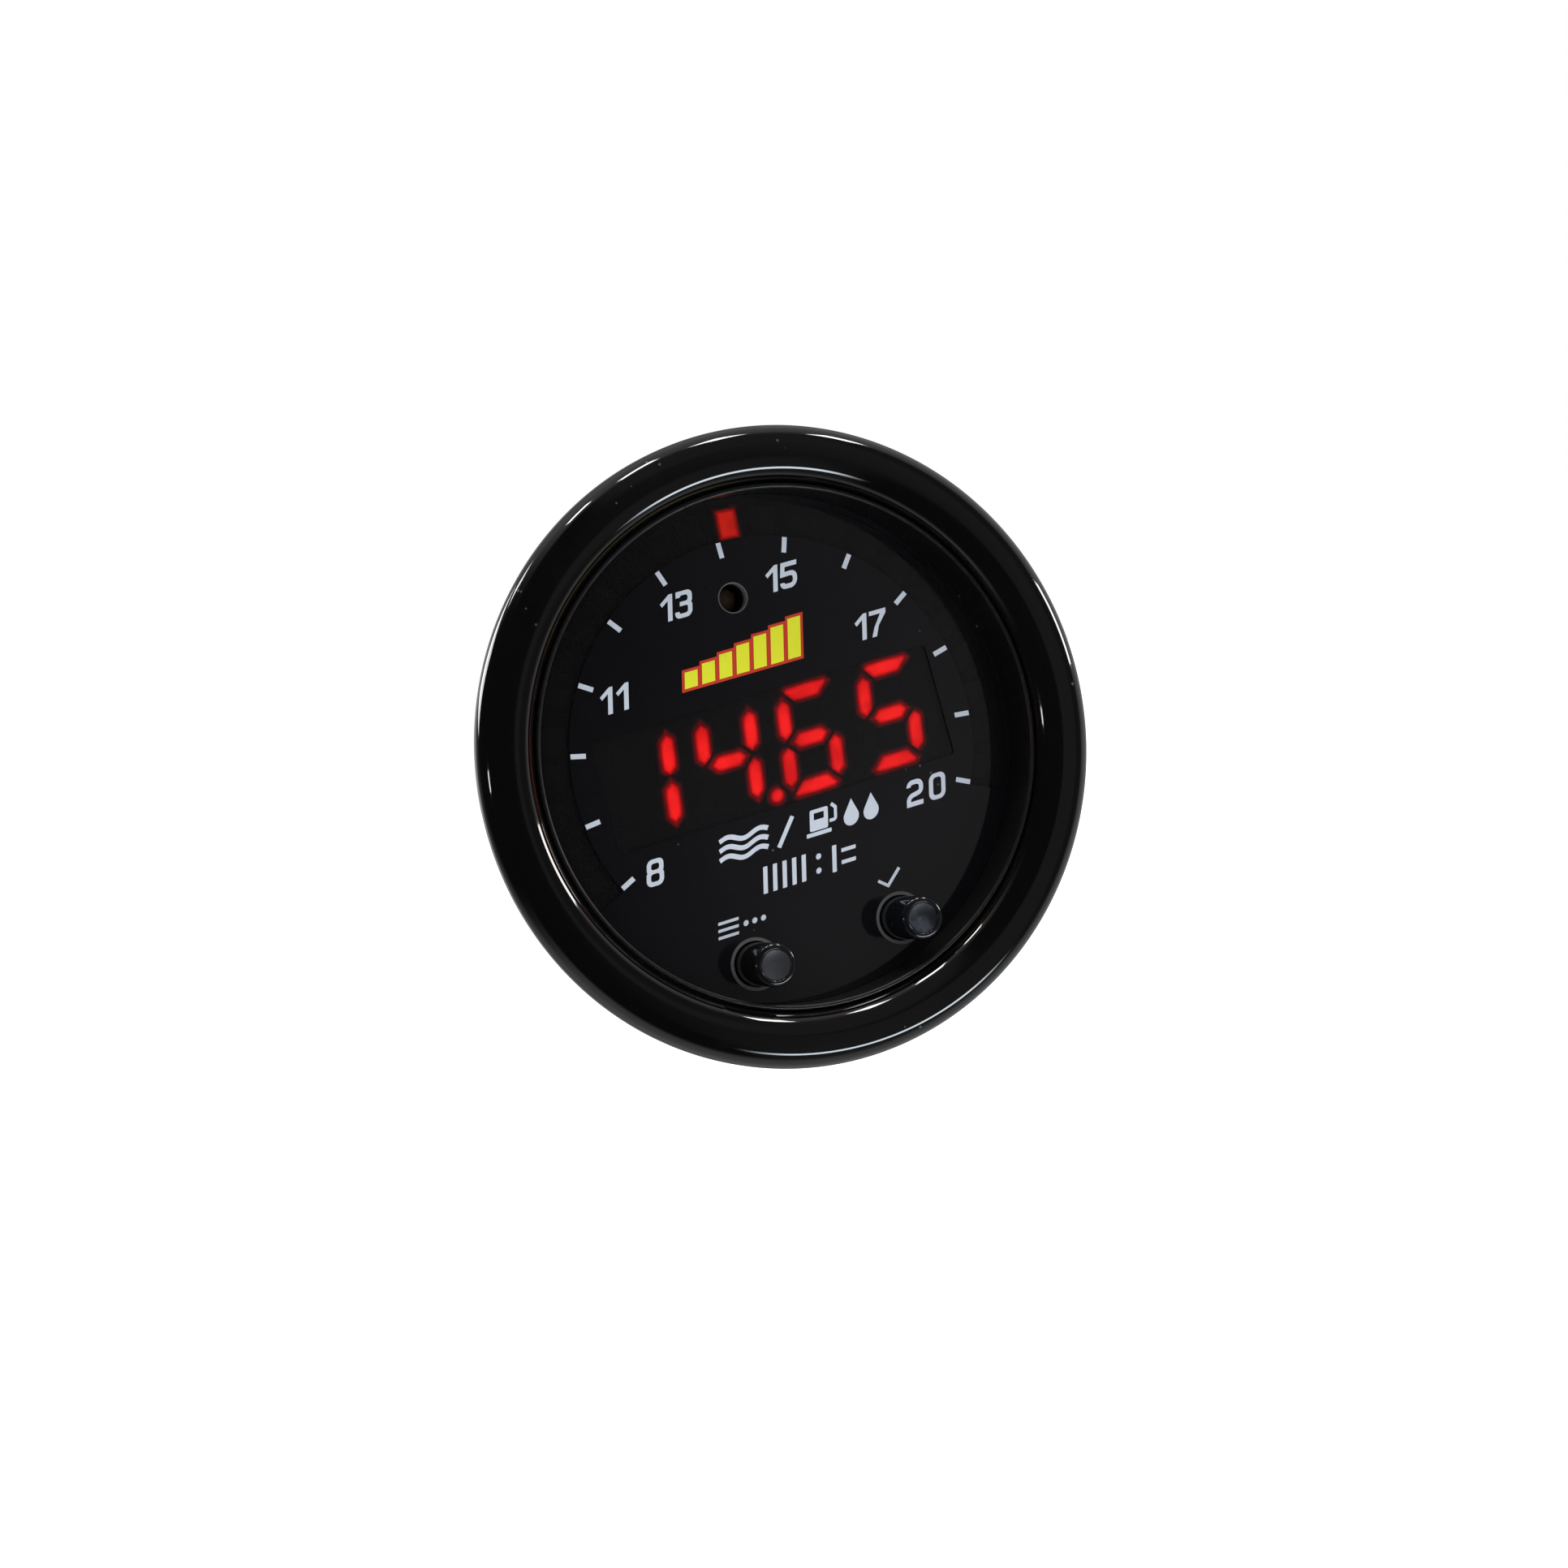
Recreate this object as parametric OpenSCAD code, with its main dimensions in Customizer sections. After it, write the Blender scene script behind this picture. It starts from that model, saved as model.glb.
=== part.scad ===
// Round panel gauge for an air and fuel ratio, with a four-digit display inside a ring of light bars.
// The face looks along -Y, +Z is up, and the origin is on the axis in the plane of the panel.
// Every piece is drawn with its axis along z, positive towards the viewer, and on_axis() lays it along -Y.

/* [Bezel] */
// Width of the bezel's rim outside the case's flange
bezel_rim = 1.4; // [1.2:0.1:3]
// Height of the bezel in front of the panel
bezel_t = 3; // [2.8:0.1:3.6]
// Radius of the bezel's outer front edge
bezel_edge_r = 2; // [1:0.1:2.1]
// Radius of the bezel's inner lip
bezel_lip_r = 2.4; // [1:0.1:2.4]
// Radius of the bezel's back edge
bezel_back_r = 0.4; // [0.2:0.1:0.6]

/* [Case] */
// Diameter of the spigot that fills the panel's round hole
spigot_d = 52; // [51.8:0.1:52.4]
// Length of the spigot behind the panel plane
spigot_len = 5.08; // [4:0.1:6]
// Step in from the spigot to the case behind it
spigot_step = 1; // [0.6:0.1:1.4]
// Wall of the case round the recess that the face lies in
spigot_wall = 1.9; // [1.6:0.1:2.2]
// Wall of the case behind the spigot
case_wall = 1.5; // [1.2:0.1:1.8]
// Depth of the printed face behind the panel plane
face_depth = 3.2; // [2.8:0.1:3.6]
// Height of the collar that shows inside the bezel
collar_h = 1.6; // [1.2:0.1:2]
// Wall of that collar
collar_t = 0.45; // [0.4:0.05:0.6]
// Thickness of the case's flange, which the bezel covers
flange_t = 1; // [0.9:0.1:1.2]
// How far the flange laps past the panel's hole
flange_lap = 2.6; // [2.2:0.1:3]

/* [Face] */
// Thickness of the printed film
film_t = 0.2; // [0.1:0.05:0.3]
// Thickness of the smoked lens
lens_t = 0.8; // [0.6:0.1:1.2]
// Margin of the clear ring in the film outside the light bars
ring_window_margin = 0.35; // [0.2:0.05:0.4]
// Angle that the scale spans, from its first value to its last
scale_span = 230; // [200:1:240]
// Extra angle of the clear ring past each end of the scale
window_overrun_angle = 0.6; // [0:0.1:2]
// Gap between the corners of the display's window and the clear ring
window_ring_gap = 1.917; // [1.8:0.001:2.1]
// Height of the display's window
display_window_h = 10.9; // [10.6:0.1:11.4]
// Diameter of the hole over the light sensor
sensor_hole_d = 3; // [2.6:0.1:3.4]
// Gap between the light sensor's hole and the clear ring
sensor_ring_gap = 3.55; // [3.4:0.05:3.7]

/* [Light bars] */
// Number of light bars in the ring
bar_count = 24; // [12:1:26]
// Width of one light bar
bar_w = 2.2; // [1.8:0.1:2.4]
// Gap between the bars' outer ends and the case
bar_rim_gap = 0.4; // [0.3:0.05:0.6]
// Length of one light bar along the radius
bar_len = 3; // [2.4:0.1:3.1]

/* [Display] */
// Margin of the display's window beside the first and last digits
window_side_margin = 1.542; // [1.5:0.002:1.8]
// Gap between two digits
digit_gap = 2.145; // [2.1:0.005:2.4]
// Height of a digit between the middles of its top and bottom segments
digit_h = 8.83; // [8.6:0.1:9]
// Width of one segment
segment_w = 1.4; // [1.1:0.1:1.5]
// Gap between two segments
segment_gap = 0.42; // [0.3:0.02:0.6]
// Slant of the digits
digit_slant = 9.35; // [5:0.5:10]
// Diameter of the decimal point
point_d = 1.45; // [1.2:0.05:1.6]

/* [Buttons] */
// Diameter of a button cap
button_d = 4.1; // [3.6:0.1:4.3]
// Height of a cap above the printed face
button_h = 5.75; // [5:0.1:7]
// Angle of each button from straight below the centre
button_angle = 21.85; // [20:0.05:24]
// Gap between a button's collar and the case
button_rim_gap = 0.18; // [0.1:0.02:0.4]
// Travel of a button
button_travel = 0.35; // [0.2:0.05:0.4]

/* [Electronics] */
// Thickness of the circuit board
board_t = 1.6; // [1.2:0.1:1.8]
// Space between the lens and the board
stack_h = 5.15; // [5:0.05:5.5]
// Pitch of the contacts in the rear sockets
contact_pitch = 3; // [2.8:0.1:3.1]
// How far the rear sockets stand out of the cover
socket_proud = 1.3; // [0.8:0.1:2]
// Gap between a rear socket and the bracket insert beside it
socket_insert_gap = 1.25; // [0.9:0.05:1.3]

/* [Rear cover] */
// Room between the board and the rear cover
rear_room = 5.41; // [5.4:0.01:9]
// Thickness of the rear cover
cover_t = 1.6; // [1.4:0.1:2]
// Gap between the bracket inserts' bosses and the case
insert_rim_gap = 2; // [1.7:0.1:2.1]
// Radius of the tapped bracket holes
bracket_hole_r = 1.25; // [1.2:0.05:1.4]
// Depth of the bracket holes
bracket_hole_len = 4; // [3.5:0.1:4.4]

/* [Hidden] */
$fn = 96;

// One overrun serves every cut, and one skin of air keeps two loose pieces apart.
cut = 0.5;
slip = 0.05;
ease = 0.1;

// Heights along the axis, from the panel plane at zero
print_z = -face_depth;
film_back_z = print_z - film_t;
lens_back_z = film_back_z - lens_t;
board_z = lens_back_z - stack_h;
board_back_z = board_z - board_t;
cover_front_z = board_back_z - rear_room;
rear_z = cover_front_z - cover_t;

// Radii of the case
spigot_r = spigot_d / 2;
recess_r = spigot_r - spigot_wall;
collar_r = recess_r + collar_t;
rear_r = spigot_r - spigot_step;
bore_r = rear_r - case_wall;
flange_r = spigot_r + flange_lap;
bezel_r = flange_r + bezel_rim;
bezel_bore_r = collar_r + slip;
spigot_chamfer = spigot_step;
cover_lip_t = 1;
groove_depth = 0.4;
groove_w = 1.2;
groove_count = 3;
groove_pitch = 2.6;
groove_first = 1.4;
gasket_t = 0.5;
gasket_edge = 0.6;
key_w = 3;
key_depth = 0.8;

// Face
film_margin = 0.4;
window_corner_r = 0.4;
button_hole_d = button_d + 2 * ease;
window_angle = scale_span + 2 * window_overrun_angle;
bar_step = scale_span / bar_count;
bar_out_r = bore_r - bar_rim_gap;
bar_in_r = bar_out_r - bar_len;
bar_r = (bar_in_r + bar_out_r) / 2;
ring_window_in_r = bar_in_r + slip;
ring_window_out_r = bar_out_r + ring_window_margin;
display_window_w = 2 * sqrt(pow(ring_window_in_r - window_ring_gap, 2) - pow(display_window_h / 2, 2));
sensor_y = ring_window_in_r - sensor_ring_gap - film_margin - sensor_hole_d / 2;

// Light baffle
baffle_wall = 0.65;
baffle_web_t = 1.2;
leg_d = 4.4;
leg_places_share = [[0.457, 0.515], [-0.457, 0.515], [0, -0.506]];
sensor_tube_wall = 0.7;
guide_wall = 0.7;
led_l = 1.6;
led_w = 0.8;
led_t = 0.6;
led_gap = 0.2;

// Display
display_side_margin = 1.45;
display_end_margin = 1.03;
digit_columns_share = [-1.5, -0.5, 0.5, 1.5];
digit_count = len(digit_columns_share);
digit_row_w = display_window_w - 2 * window_side_margin;
digit_pitch = (digit_row_w + digit_gap) / digit_count;
digit_w = digit_pitch - digit_gap - segment_w;
display_body_w = digit_row_w + 2 * display_side_margin;
display_body_h = digit_h + segment_w + 2 * display_end_margin;
display_shift = -0.16;
segment_t = 0.4;
column_h = digit_h / 2;
point_shift_share = 0.517;
pin_count = 6;
pin_pitch = 2.54;
pin_r = 0.25;
pin_margin = 0.75;

// Buttons and switches
cap_rim_r = 0.45;
cap_dish_depth = 0.2;
cap_dish_share = 0.72;
cap_flange_w = 0.75;
cap_flange_t = 0.7;
cap_rest_gap = 0.3;
cap_foot_d = 3;
cap_foot_h = 0.4;
plunger_d = 2;
plunger_h = 1.15;
plunger_seat = 0.9;
switch_w = 4.2;
switch_cover_d = 3.4;
switch_cover_t = 0.3;
button_r = bore_r - button_rim_gap - button_hole_d / 2 - cap_flange_w;
button_x = button_r * sin(button_angle);
button_drop = button_r * cos(button_angle);
cap_flange_z = lens_back_z - cap_rest_gap;
cap_foot_z = cap_flange_z - cap_flange_t - cap_foot_h;
switch_top_z = cap_foot_z - plunger_h;

// Rear cover, its pillars and its screws
skirt_t = 1.2;
skirt_h = 2;
pillar_d = 4.8;
insert_r = 2.1;
insert_boss_r = 2.9;
insert_floor = 1;
insert_knurls = 16;
insert_knurl_r = 0.18;
screw_r = 1;
screw_head_r = 1.9;
screw_head_h = 1.2;
screw_bite = 3.5;
slot_len = 2.5;
slot_w = 0.5;
slot_depth = 0.6;
bracket_pitch = 2 * (bore_r - ease - insert_boss_r - insert_rim_gap);

// Sockets
socket_wall = 1;
socket_floor = 1;
socket_h = rear_room + cover_t + socket_proud;
socket_side_room = 1.5;
contact_room = 4;
socket_in_h = contact_pitch + contact_room;
mouth_room = 4.31;
contact_w = 0.64;
contact_len = socket_h - socket_floor - mouth_room;
latch_w = 3.4;
latch_h = 1.6;
latch_t = 0.8;
power_columns = 2;
sensor_columns = 3;
socket_x = bracket_pitch / 2 - insert_boss_r - socket_insert_gap - socket_wall - socket_in_w(sensor_columns) / 2;

// Chips and small parts: size along x, size along y and height
chip_size = [7, 7, 1.4];
chip_legs = 12;
chip_leg = [0.28, 1.1, 0.3];
driver_size = [4, 9.9, 1.6];
driver_legs = 8;
driver_leg = [1.1, 0.42, 0.35];
regulator_size = [6.5, 6.1, 2.3];
regulator_tab = [5.2, 1.2, 0.5];
regulator_leg = [0.75, 2.4, 0.5];
regulator_leg_pitch = 2.28;
can_d = 5;
can_gap = 0.5;
can_h = rear_room - can_gap;
can_base_t = 0.9;
can_base_w = 5.2;
can_places_share = [[-0.272, -0.647], [0.264, -0.689]];
inductor_w = 5;
inductor_t = 3;
inductor_corner = 1.1;
inductor_core_d = 3.4;
crystal_size = [5, 3.2, 1.2];
crystal_lid_edge = 0.35;
crystal_lid_t = 0.4;
ceramic_size = [1.25, 2, 0.8];
ceramic_count = 6;
ceramic_pitch = 2.6;
resistor_size = [2, 1.25, 0.5];
resistor_count = 4;
resistor_pitch = 2;
chip_place_share = [0, 0.464];
driver_place_share = [0.562, -0.451];
regulator_place_share = [-0.562, -0.417];
inductor_place_share = [0.268, -0.391];
crystal_place_share = [-0.689, 0.323];
ceramic_row_share = 0.766;
resistor_column_share = [0.706, 0.264];

// Lays a piece that is drawn along z onto the gauge's axis.
module on_axis() {
    rotate([90, 0, 0]) children();
}

module disc(d, from_z, to_z) {
    translate([0, 0, from_z]) cylinder(d = d, h = to_z - from_z);
}

module ring(outer_d, inner_d, from_z, to_z) {
    difference() {
        disc(outer_d, from_z, to_z);
        disc(inner_d, from_z - cut, to_z + cut);
    }
}

// A box centred on x and y that rises from from_z.
module block(size, from_z) {
    translate([-size.x / 2, -size.y / 2, from_z]) cube(size);
}

// A box centred on x and y that hangs down from to_z.
module hung_block(size, to_z) {
    block(size, to_z - size.z);
}

// Places a child on the board, at shares of the case's inside radius.
module at_share(share) {
    translate([share.x * bore_r, share.y * bore_r, 0]) children();
}

// A quarter of a round edge in a profile, in the quadrant that sx and sy name.
module quarter(r, centre, sx, sy) {
    intersection() {
        translate(centre) circle(r = r);
        translate([sx < 0 ? centre.x - r : centre.x, sy < 0 ? centre.y - r : centre.y]) square(r);
    }
}

// A rectangle in a profile, from one corner to the opposite one.
module span(low, high) {
    translate(low) square(high - low);
}

module rounded_rectangle(w, h, r) {
    square([w - 2 * r, h], center = true);
    square([w, h - 2 * r], center = true);
    for (x = [-1, 1], y = [-1, 1])
        translate([x * (w / 2 - r), y * (h / 2 - r)]) circle(r = r);
}

module at_buttons() {
    for (side = [-1, 1])
        translate([side * button_x, -button_drop, 0]) children();
}

module at_sensor() {
    translate([0, sensor_y, 0]) children();
}

module at_legs() {
    for (share = leg_places_share)
        translate([share.x * recess_r, share.y * recess_r, 0]) children();
}

// Places a child at each light bar, from the first value at the lower left round to the last.
module at_bars() {
    for (i = [0 : bar_count - 1])
        rotate([0, 0, 90 + scale_span / 2 - (i + 1 / 2) * bar_step])
            translate([bar_r, 0, 0]) children();
}

module bezel_profile() {
    edge = [bezel_r - bezel_edge_r, bezel_t - bezel_edge_r];
    lip = [bezel_bore_r + bezel_lip_r, bezel_t - bezel_lip_r];
    back = [bezel_r - bezel_back_r, bezel_back_r];
    difference() {
        union() {
            quarter(bezel_edge_r, edge, 1, 1);
            quarter(bezel_lip_r, lip, -1, 1);
            quarter(bezel_back_r, back, 1, -1);
            span([lip.x, 0], [edge.x, bezel_t]);
            span([bezel_bore_r, 0], lip);
            span([edge.x, bezel_back_r], [bezel_r, edge.y]);
            span([edge.x, 0], back);
        }
        span([0, -cut], [flange_r + slip, flange_t]);
    }
}

module bezel_ring() {
    color([0.03, 0.03, 0.035]) on_axis() rotate_extrude($fn = 180) bezel_profile();
}

module case_profile() {
    bevel = collar_t / 3;
    polygon([
        [bore_r, lens_back_z],
        [recess_r, lens_back_z],
        [recess_r, collar_h - bevel],
        [recess_r + bevel, collar_h],
        [collar_r - bevel, collar_h],
        [collar_r, collar_h - bevel],
        [collar_r, flange_t],
        [flange_r, flange_t],
        [flange_r, 0],
        [spigot_r, 0],
        [spigot_r, -spigot_len],
        [rear_r, -spigot_len - spigot_chamfer],
        [rear_r, rear_z + cover_lip_t],
        [bore_r, rear_z + cover_lip_t]
    ]);
}

module case_body() {
    color([0.05, 0.05, 0.055]) on_axis() difference() {
        rotate_extrude($fn = 180) case_profile();
        ring(2 * (flange_r - gasket_edge), spigot_d + 2 * gasket_edge, -cut, gasket_t + slip);
        for (i = [0 : groove_count - 1])
            translate([0, 0, -spigot_len - spigot_chamfer - groove_first - i * groove_pitch])
                ring(2 * (rear_r + cut), 2 * (rear_r - groove_depth), -groove_w, 0);
        translate([0, rear_r, 0])
            hung_block([key_w, 2 * key_depth, -rear_z], -spigot_len - spigot_chamfer);
    }
}

module panel_gasket() {
    color([0.1, 0.1, 0.1]) on_axis()
        ring(2 * (flange_r - gasket_edge - slip), spigot_d + 2 * (gasket_edge + slip), 0, gasket_t);
}

module ring_window(from_z, to_z) {
    rotate([0, 0, 90 - window_angle / 2])
        rotate_extrude(angle = window_angle, $fn = 180)
            span([ring_window_in_r, from_z], [ring_window_out_r, to_z]);
}

module dial_film() {
    color([0.09, 0.09, 0.1]) on_axis() difference() {
        disc(2 * (recess_r - slip), film_back_z, print_z);
        ring_window(film_back_z - cut, print_z + cut);
        translate([0, 0, film_back_z - cut])
            linear_extrude(film_t + 2 * cut)
                rounded_rectangle(display_window_w, display_window_h, window_corner_r);
        at_sensor() disc(sensor_hole_d + 2 * film_margin, film_back_z - cut, print_z + cut);
        at_buttons() disc(button_hole_d + 2 * film_margin, film_back_z - cut, print_z + cut);
    }
}

module face_lens() {
    color([0.16, 0.16, 0.17, 0.5]) on_axis() difference() {
        disc(2 * (recess_r - slip), lens_back_z, film_back_z);
        at_sensor() disc(sensor_hole_d, lens_back_z - cut, film_back_z + cut);
        at_buttons() disc(button_hole_d, lens_back_z - cut, film_back_z + cut);
    }
}

module baffle_solids() {
    guide_d = button_hole_d + 2 * cap_flange_w + 2 * guide_wall;
    ring(2 * bore_r, 2 * (bar_in_r - baffle_wall), board_z, lens_back_z);
    disc(2 * bar_r, lens_back_z - baffle_web_t, lens_back_z);
    at_sensor() disc(sensor_hole_d + 2 * sensor_tube_wall, board_z + stack_h / 2, lens_back_z);
    at_buttons() disc(guide_d, switch_top_z + ease, lens_back_z);
    at_legs() disc(leg_d, board_z, lens_back_z);
}

module light_baffle() {
    color([0.12, 0.12, 0.12]) on_axis() difference() {
        intersection() {
            baffle_solids();
            disc(2 * (bore_r - slip), board_z, lens_back_z);
        }
        at_bars() block([bar_len, bar_w, stack_h + 2 * cut], board_z - cut);
        block([display_body_w + 2 * slip, display_body_h + 2 * slip, stack_h + 2 * cut], board_z - cut);
        at_sensor() disc(sensor_hole_d, board_z - cut, lens_back_z + cut);
        at_buttons() disc(button_hole_d + 2 * cap_flange_w, board_z - cut, lens_back_z + cut);
        at_buttons() block([switch_w + 2 * ease, switch_w + 2 * ease, switch_top_z - board_z + cut], board_z - cut);
        at_legs() disc(2 * screw_r + 2 * slip, board_z - cut, board_z + screw_bite);
    }
}

module bar_light_guides() {
    color([0.45, 0.08, 0.07]) on_axis() at_bars()
        block(
            [bar_len - 2 * slip, bar_w - 2 * slip, stack_h - led_t - led_gap - ease],
            board_z + led_t + led_gap
        );
}

module bar_leds() {
    color([0.9, 0.85, 0.7]) on_axis() at_bars() block([led_l, led_w, led_t], board_z);
}

// An upright segment of a digit, pointed at both ends, with the slant left out.
module segment_bar(length, width) {
    point = width / 2;
    polygon([
        [-length / 2, 0],
        [point - length / 2, point],
        [length / 2 - point, point],
        [length / 2, 0],
        [length / 2 - point, -point],
        [point - length / 2, -point]
    ]);
}

// A top or bottom segment, whose outer edge is longer than its inner edge.
module segment_edge(length, width) {
    polygon([
        [-length / 2, width / 4],
        [width / 4 - length / 2, width / 2],
        [length / 2 - width / 4, width / 2],
        [length / 2, width / 4],
        [length / 2 - width * 3 / 4, -width / 2],
        [width * 3 / 4 - length / 2, -width / 2]
    ]);
}

// The seven segments and the point of one digit, each grown by the same small amount.
module digit_outline(grow) {
    edge_len = digit_w + segment_w - segment_gap / 2 + 2 * grow;
    bar_h = column_h - segment_gap + 2 * grow;
    middle_len = digit_w - segment_gap + 2 * grow;
    width = segment_w + 2 * grow;
    translate([0, digit_h / 2]) segment_edge(edge_len - segment_w, width);
    translate([0, -digit_h / 2]) rotate(180) segment_edge(edge_len - segment_w, width);
    segment_bar(middle_len - segment_w / 2, width);
    for (x = [-1, 1], y = [-1, 1])
        translate([x * digit_w / 2, y * column_h / 2]) rotate(90) segment_bar(bar_h, width);
}

module point_outline(grow) {
    translate([point_shift_share * digit_pitch, -digit_h / 2])
        circle(d = point_d + 2 * grow);
}

module at_digits() {
    for (share = digit_columns_share)
        translate([share * digit_pitch + display_shift, 0, 0]) children();
}

// Leans a flat drawing to the right by the digits' slant.
module slanted() {
    multmatrix([[1, tan(digit_slant), 0, 0], [0, 1, 0, 0], [0, 0, 1, 0], [0, 0, 0, 1]]) children();
}

module segments_at(grow, from_z, thickness) {
    translate([0, 0, from_z]) at_digits() linear_extrude(thickness) {
        slanted() digit_outline(grow);
        slanted() point_outline(grow);
    }
}

module display_body() {
    color([0.16, 0.16, 0.16]) on_axis() difference() {
        block([display_body_w, display_body_h, stack_h - ease], board_z);
        segments_at(slip, lens_back_z - ease - segment_t - slip, segment_t + cut);
    }
}

module display_segments() {
    color([0.9, 0.1, 0.1]) on_axis() segments_at(0, lens_back_z - ease - segment_t, segment_t);
}

module at_pins() {
    for (i = [0 : pin_count - 1], side = [-1, 1])
        translate([(i - (pin_count - 1) / 2) * pin_pitch, side * (display_body_h / 2 - pin_margin), 0])
            children();
}

module display_pins() {
    color("silver") on_axis() at_pins() disc(2 * pin_r, board_back_z, board_z);
}

module light_sensor() {
    height = stack_h / 2 - ease;
    dome_r = sensor_hole_d / 2 - ease;
    color([0.35, 0.25, 0.2]) on_axis() at_sensor() {
        disc(sensor_hole_d + sensor_tube_wall, board_z, board_z + led_t);
        disc(2 * dome_r, board_z, board_z + height);
        translate([0, 0, board_z + height]) sphere(r = dome_r);
    }
}

module main_board() {
    color([0.05, 0.3, 0.15]) on_axis() difference() {
        disc(2 * (bore_r - ease), board_back_z, board_z);
        at_pins() disc(2 * (pin_r + slip), board_back_z - cut, board_z + cut);
        at_legs() disc(2 * (screw_r + ease), board_back_z - cut, board_z + cut);
        for (side = [-1, 1])
            translate([side * socket_x, 0, 0])
                at_contacts(side < 0 ? power_columns : sensor_columns)
                    block([contact_w + 2 * slip, contact_w + 2 * slip, board_t + 2 * cut], board_back_z - cut);
    }
}

module button_cap() {
    r = button_d / 2;
    tip_z = print_z + button_h;
    dish_r = cap_dish_share * r;
    dish_sphere_r = (dish_r * dish_r + cap_dish_depth * cap_dish_depth) / (2 * cap_dish_depth);
    difference() {
        rotate_extrude() {
            span([0, cap_flange_z - cap_flange_t], [r + cap_flange_w, cap_flange_z]);
            span([0, cap_flange_z - cap_flange_t], [r, tip_z - cap_rim_r]);
            span([0, cap_flange_z - cap_flange_t], [r - cap_rim_r, tip_z]);
            span([0, cap_foot_z], [cap_foot_d / 2, cap_flange_z]);
            quarter(cap_rim_r, [r - cap_rim_r, tip_z - cap_rim_r], 1, 1);
        }
        translate([0, 0, tip_z + dish_sphere_r - cap_dish_depth]) sphere(r = dish_sphere_r);
    }
}

module mode_button_cap() {
    color([0.06, 0.06, 0.065]) on_axis() translate([-button_x, -button_drop, 0]) button_cap();
}

module select_button_cap() {
    color([0.06, 0.06, 0.065]) on_axis() translate([button_x, -button_drop, 0]) button_cap();
}

module switch_base() {
    difference() {
        union() {
            block([switch_w, switch_w, switch_top_z - switch_cover_t - board_z], board_z);
            disc(switch_cover_d, board_z, switch_top_z);
        }
        disc(plunger_d + 2 * slip, switch_top_z - plunger_seat - 2 * button_travel, switch_top_z + cut);
    }
}

module mode_switch() {
    color([0.55, 0.55, 0.57]) on_axis() translate([-button_x, -button_drop, 0]) switch_base();
}

module select_switch() {
    color([0.55, 0.55, 0.57]) on_axis() translate([button_x, -button_drop, 0]) switch_base();
}

module plunger() {
    disc(plunger_d, switch_top_z - plunger_seat, cap_foot_z);
}

module mode_plunger() {
    color([0.15, 0.15, 0.15]) on_axis() translate([-button_x, -button_drop, 0]) plunger();
}

module select_plunger() {
    color([0.15, 0.15, 0.15]) on_axis() translate([button_x, -button_drop, 0]) plunger();
}

// A row of chip legs along one side, each lapped into the body.
module leg_row(count, pitch, leg) {
    for (i = [0 : count - 1])
        translate([0, (i - (count - 1) / 2) * pitch, 0]) hung_block(leg, 0);
}

module microcontroller() {
    leg_pitch = chip_size.x / (chip_legs + 1);
    color([0.08, 0.08, 0.09]) on_axis() at_share(chip_place_share) translate([0, 0, board_back_z]) {
        hung_block(chip_size, 0);
        for (turn = [0 : 3])
            rotate(90 * turn) translate([chip_size.x / 2 + chip_leg.y / 4, 0, 0])
                leg_row(chip_legs, leg_pitch, [chip_leg.y, chip_leg.x, chip_leg.z]);
    }
}

module sensor_driver() {
    leg_pitch = driver_size.y / driver_legs;
    color([0.08, 0.08, 0.09]) on_axis() at_share(driver_place_share) translate([0, 0, board_back_z]) {
        hung_block(driver_size, 0);
        for (side = [-1, 1])
            translate([side * (driver_size.x / 2 + driver_leg.x / 4), 0, 0])
                leg_row(driver_legs, leg_pitch, driver_leg);
    }
}

module voltage_regulator() {
    color([0.1, 0.1, 0.1]) on_axis() at_share(regulator_place_share) translate([0, 0, board_back_z]) {
        hung_block(regulator_size, 0);
        translate([0, regulator_size.y / 2, 0]) hung_block(regulator_tab, 0);
        for (side = [-1, 1])
            translate([side * regulator_leg_pitch, -regulator_size.y / 2, 0]) hung_block(regulator_leg, 0);
    }
}

module filter_capacitors() {
    color([0.75, 0.76, 0.78]) on_axis() for (share = can_places_share)
        at_share(share) {
            hung_block([can_base_w, can_base_w, can_base_t], board_back_z);
            disc(can_d, board_back_z - can_h, board_back_z - can_base_t);
        }
}

module power_inductor() {
    w = inductor_w / 2;
    color([0.3, 0.3, 0.32]) on_axis() at_share(inductor_place_share) difference() {
        translate([0, 0, board_back_z - inductor_t]) linear_extrude(inductor_t)
            polygon([
                [w, w - inductor_corner], [w - inductor_corner, w],
                [inductor_corner - w, w], [-w, w - inductor_corner],
                [-w, inductor_corner - w], [inductor_corner - w, -w],
                [w - inductor_corner, -w], [w, inductor_corner - w]
            ]);
        ring(inductor_core_d + slot_w, inductor_core_d, board_back_z - inductor_t - cut, board_back_z - inductor_t + slot_w);
    }
}

module clock_crystal() {
    lid = [crystal_size.x - 2 * crystal_lid_edge, crystal_size.y - 2 * crystal_lid_edge, crystal_size.z];
    color([0.8, 0.8, 0.78]) on_axis() at_share(crystal_place_share) {
        hung_block([crystal_size.x, crystal_size.y, crystal_size.z - crystal_lid_t], board_back_z);
        hung_block(lid, board_back_z);
    }
}

module ceramic_capacitors() {
    color([0.7, 0.55, 0.4]) on_axis() for (i = [0 : ceramic_count - 1])
        translate([(i - (ceramic_count - 1) / 2) * ceramic_pitch, ceramic_row_share * bore_r, 0])
            hung_block(ceramic_size, board_back_z);
}

module chip_resistors() {
    color([0.1, 0.1, 0.12]) on_axis() for (i = [0 : resistor_count - 1])
        at_share(resistor_column_share) translate([0, i * resistor_pitch, 0])
            hung_block(resistor_size, board_back_z);
}

module at_contacts(columns) {
    for (i = [0 : columns - 1], row = [-1, 1])
        translate([(i - (columns - 1) / 2) * contact_pitch, row * contact_pitch / 2, 0]) children();
}

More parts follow.
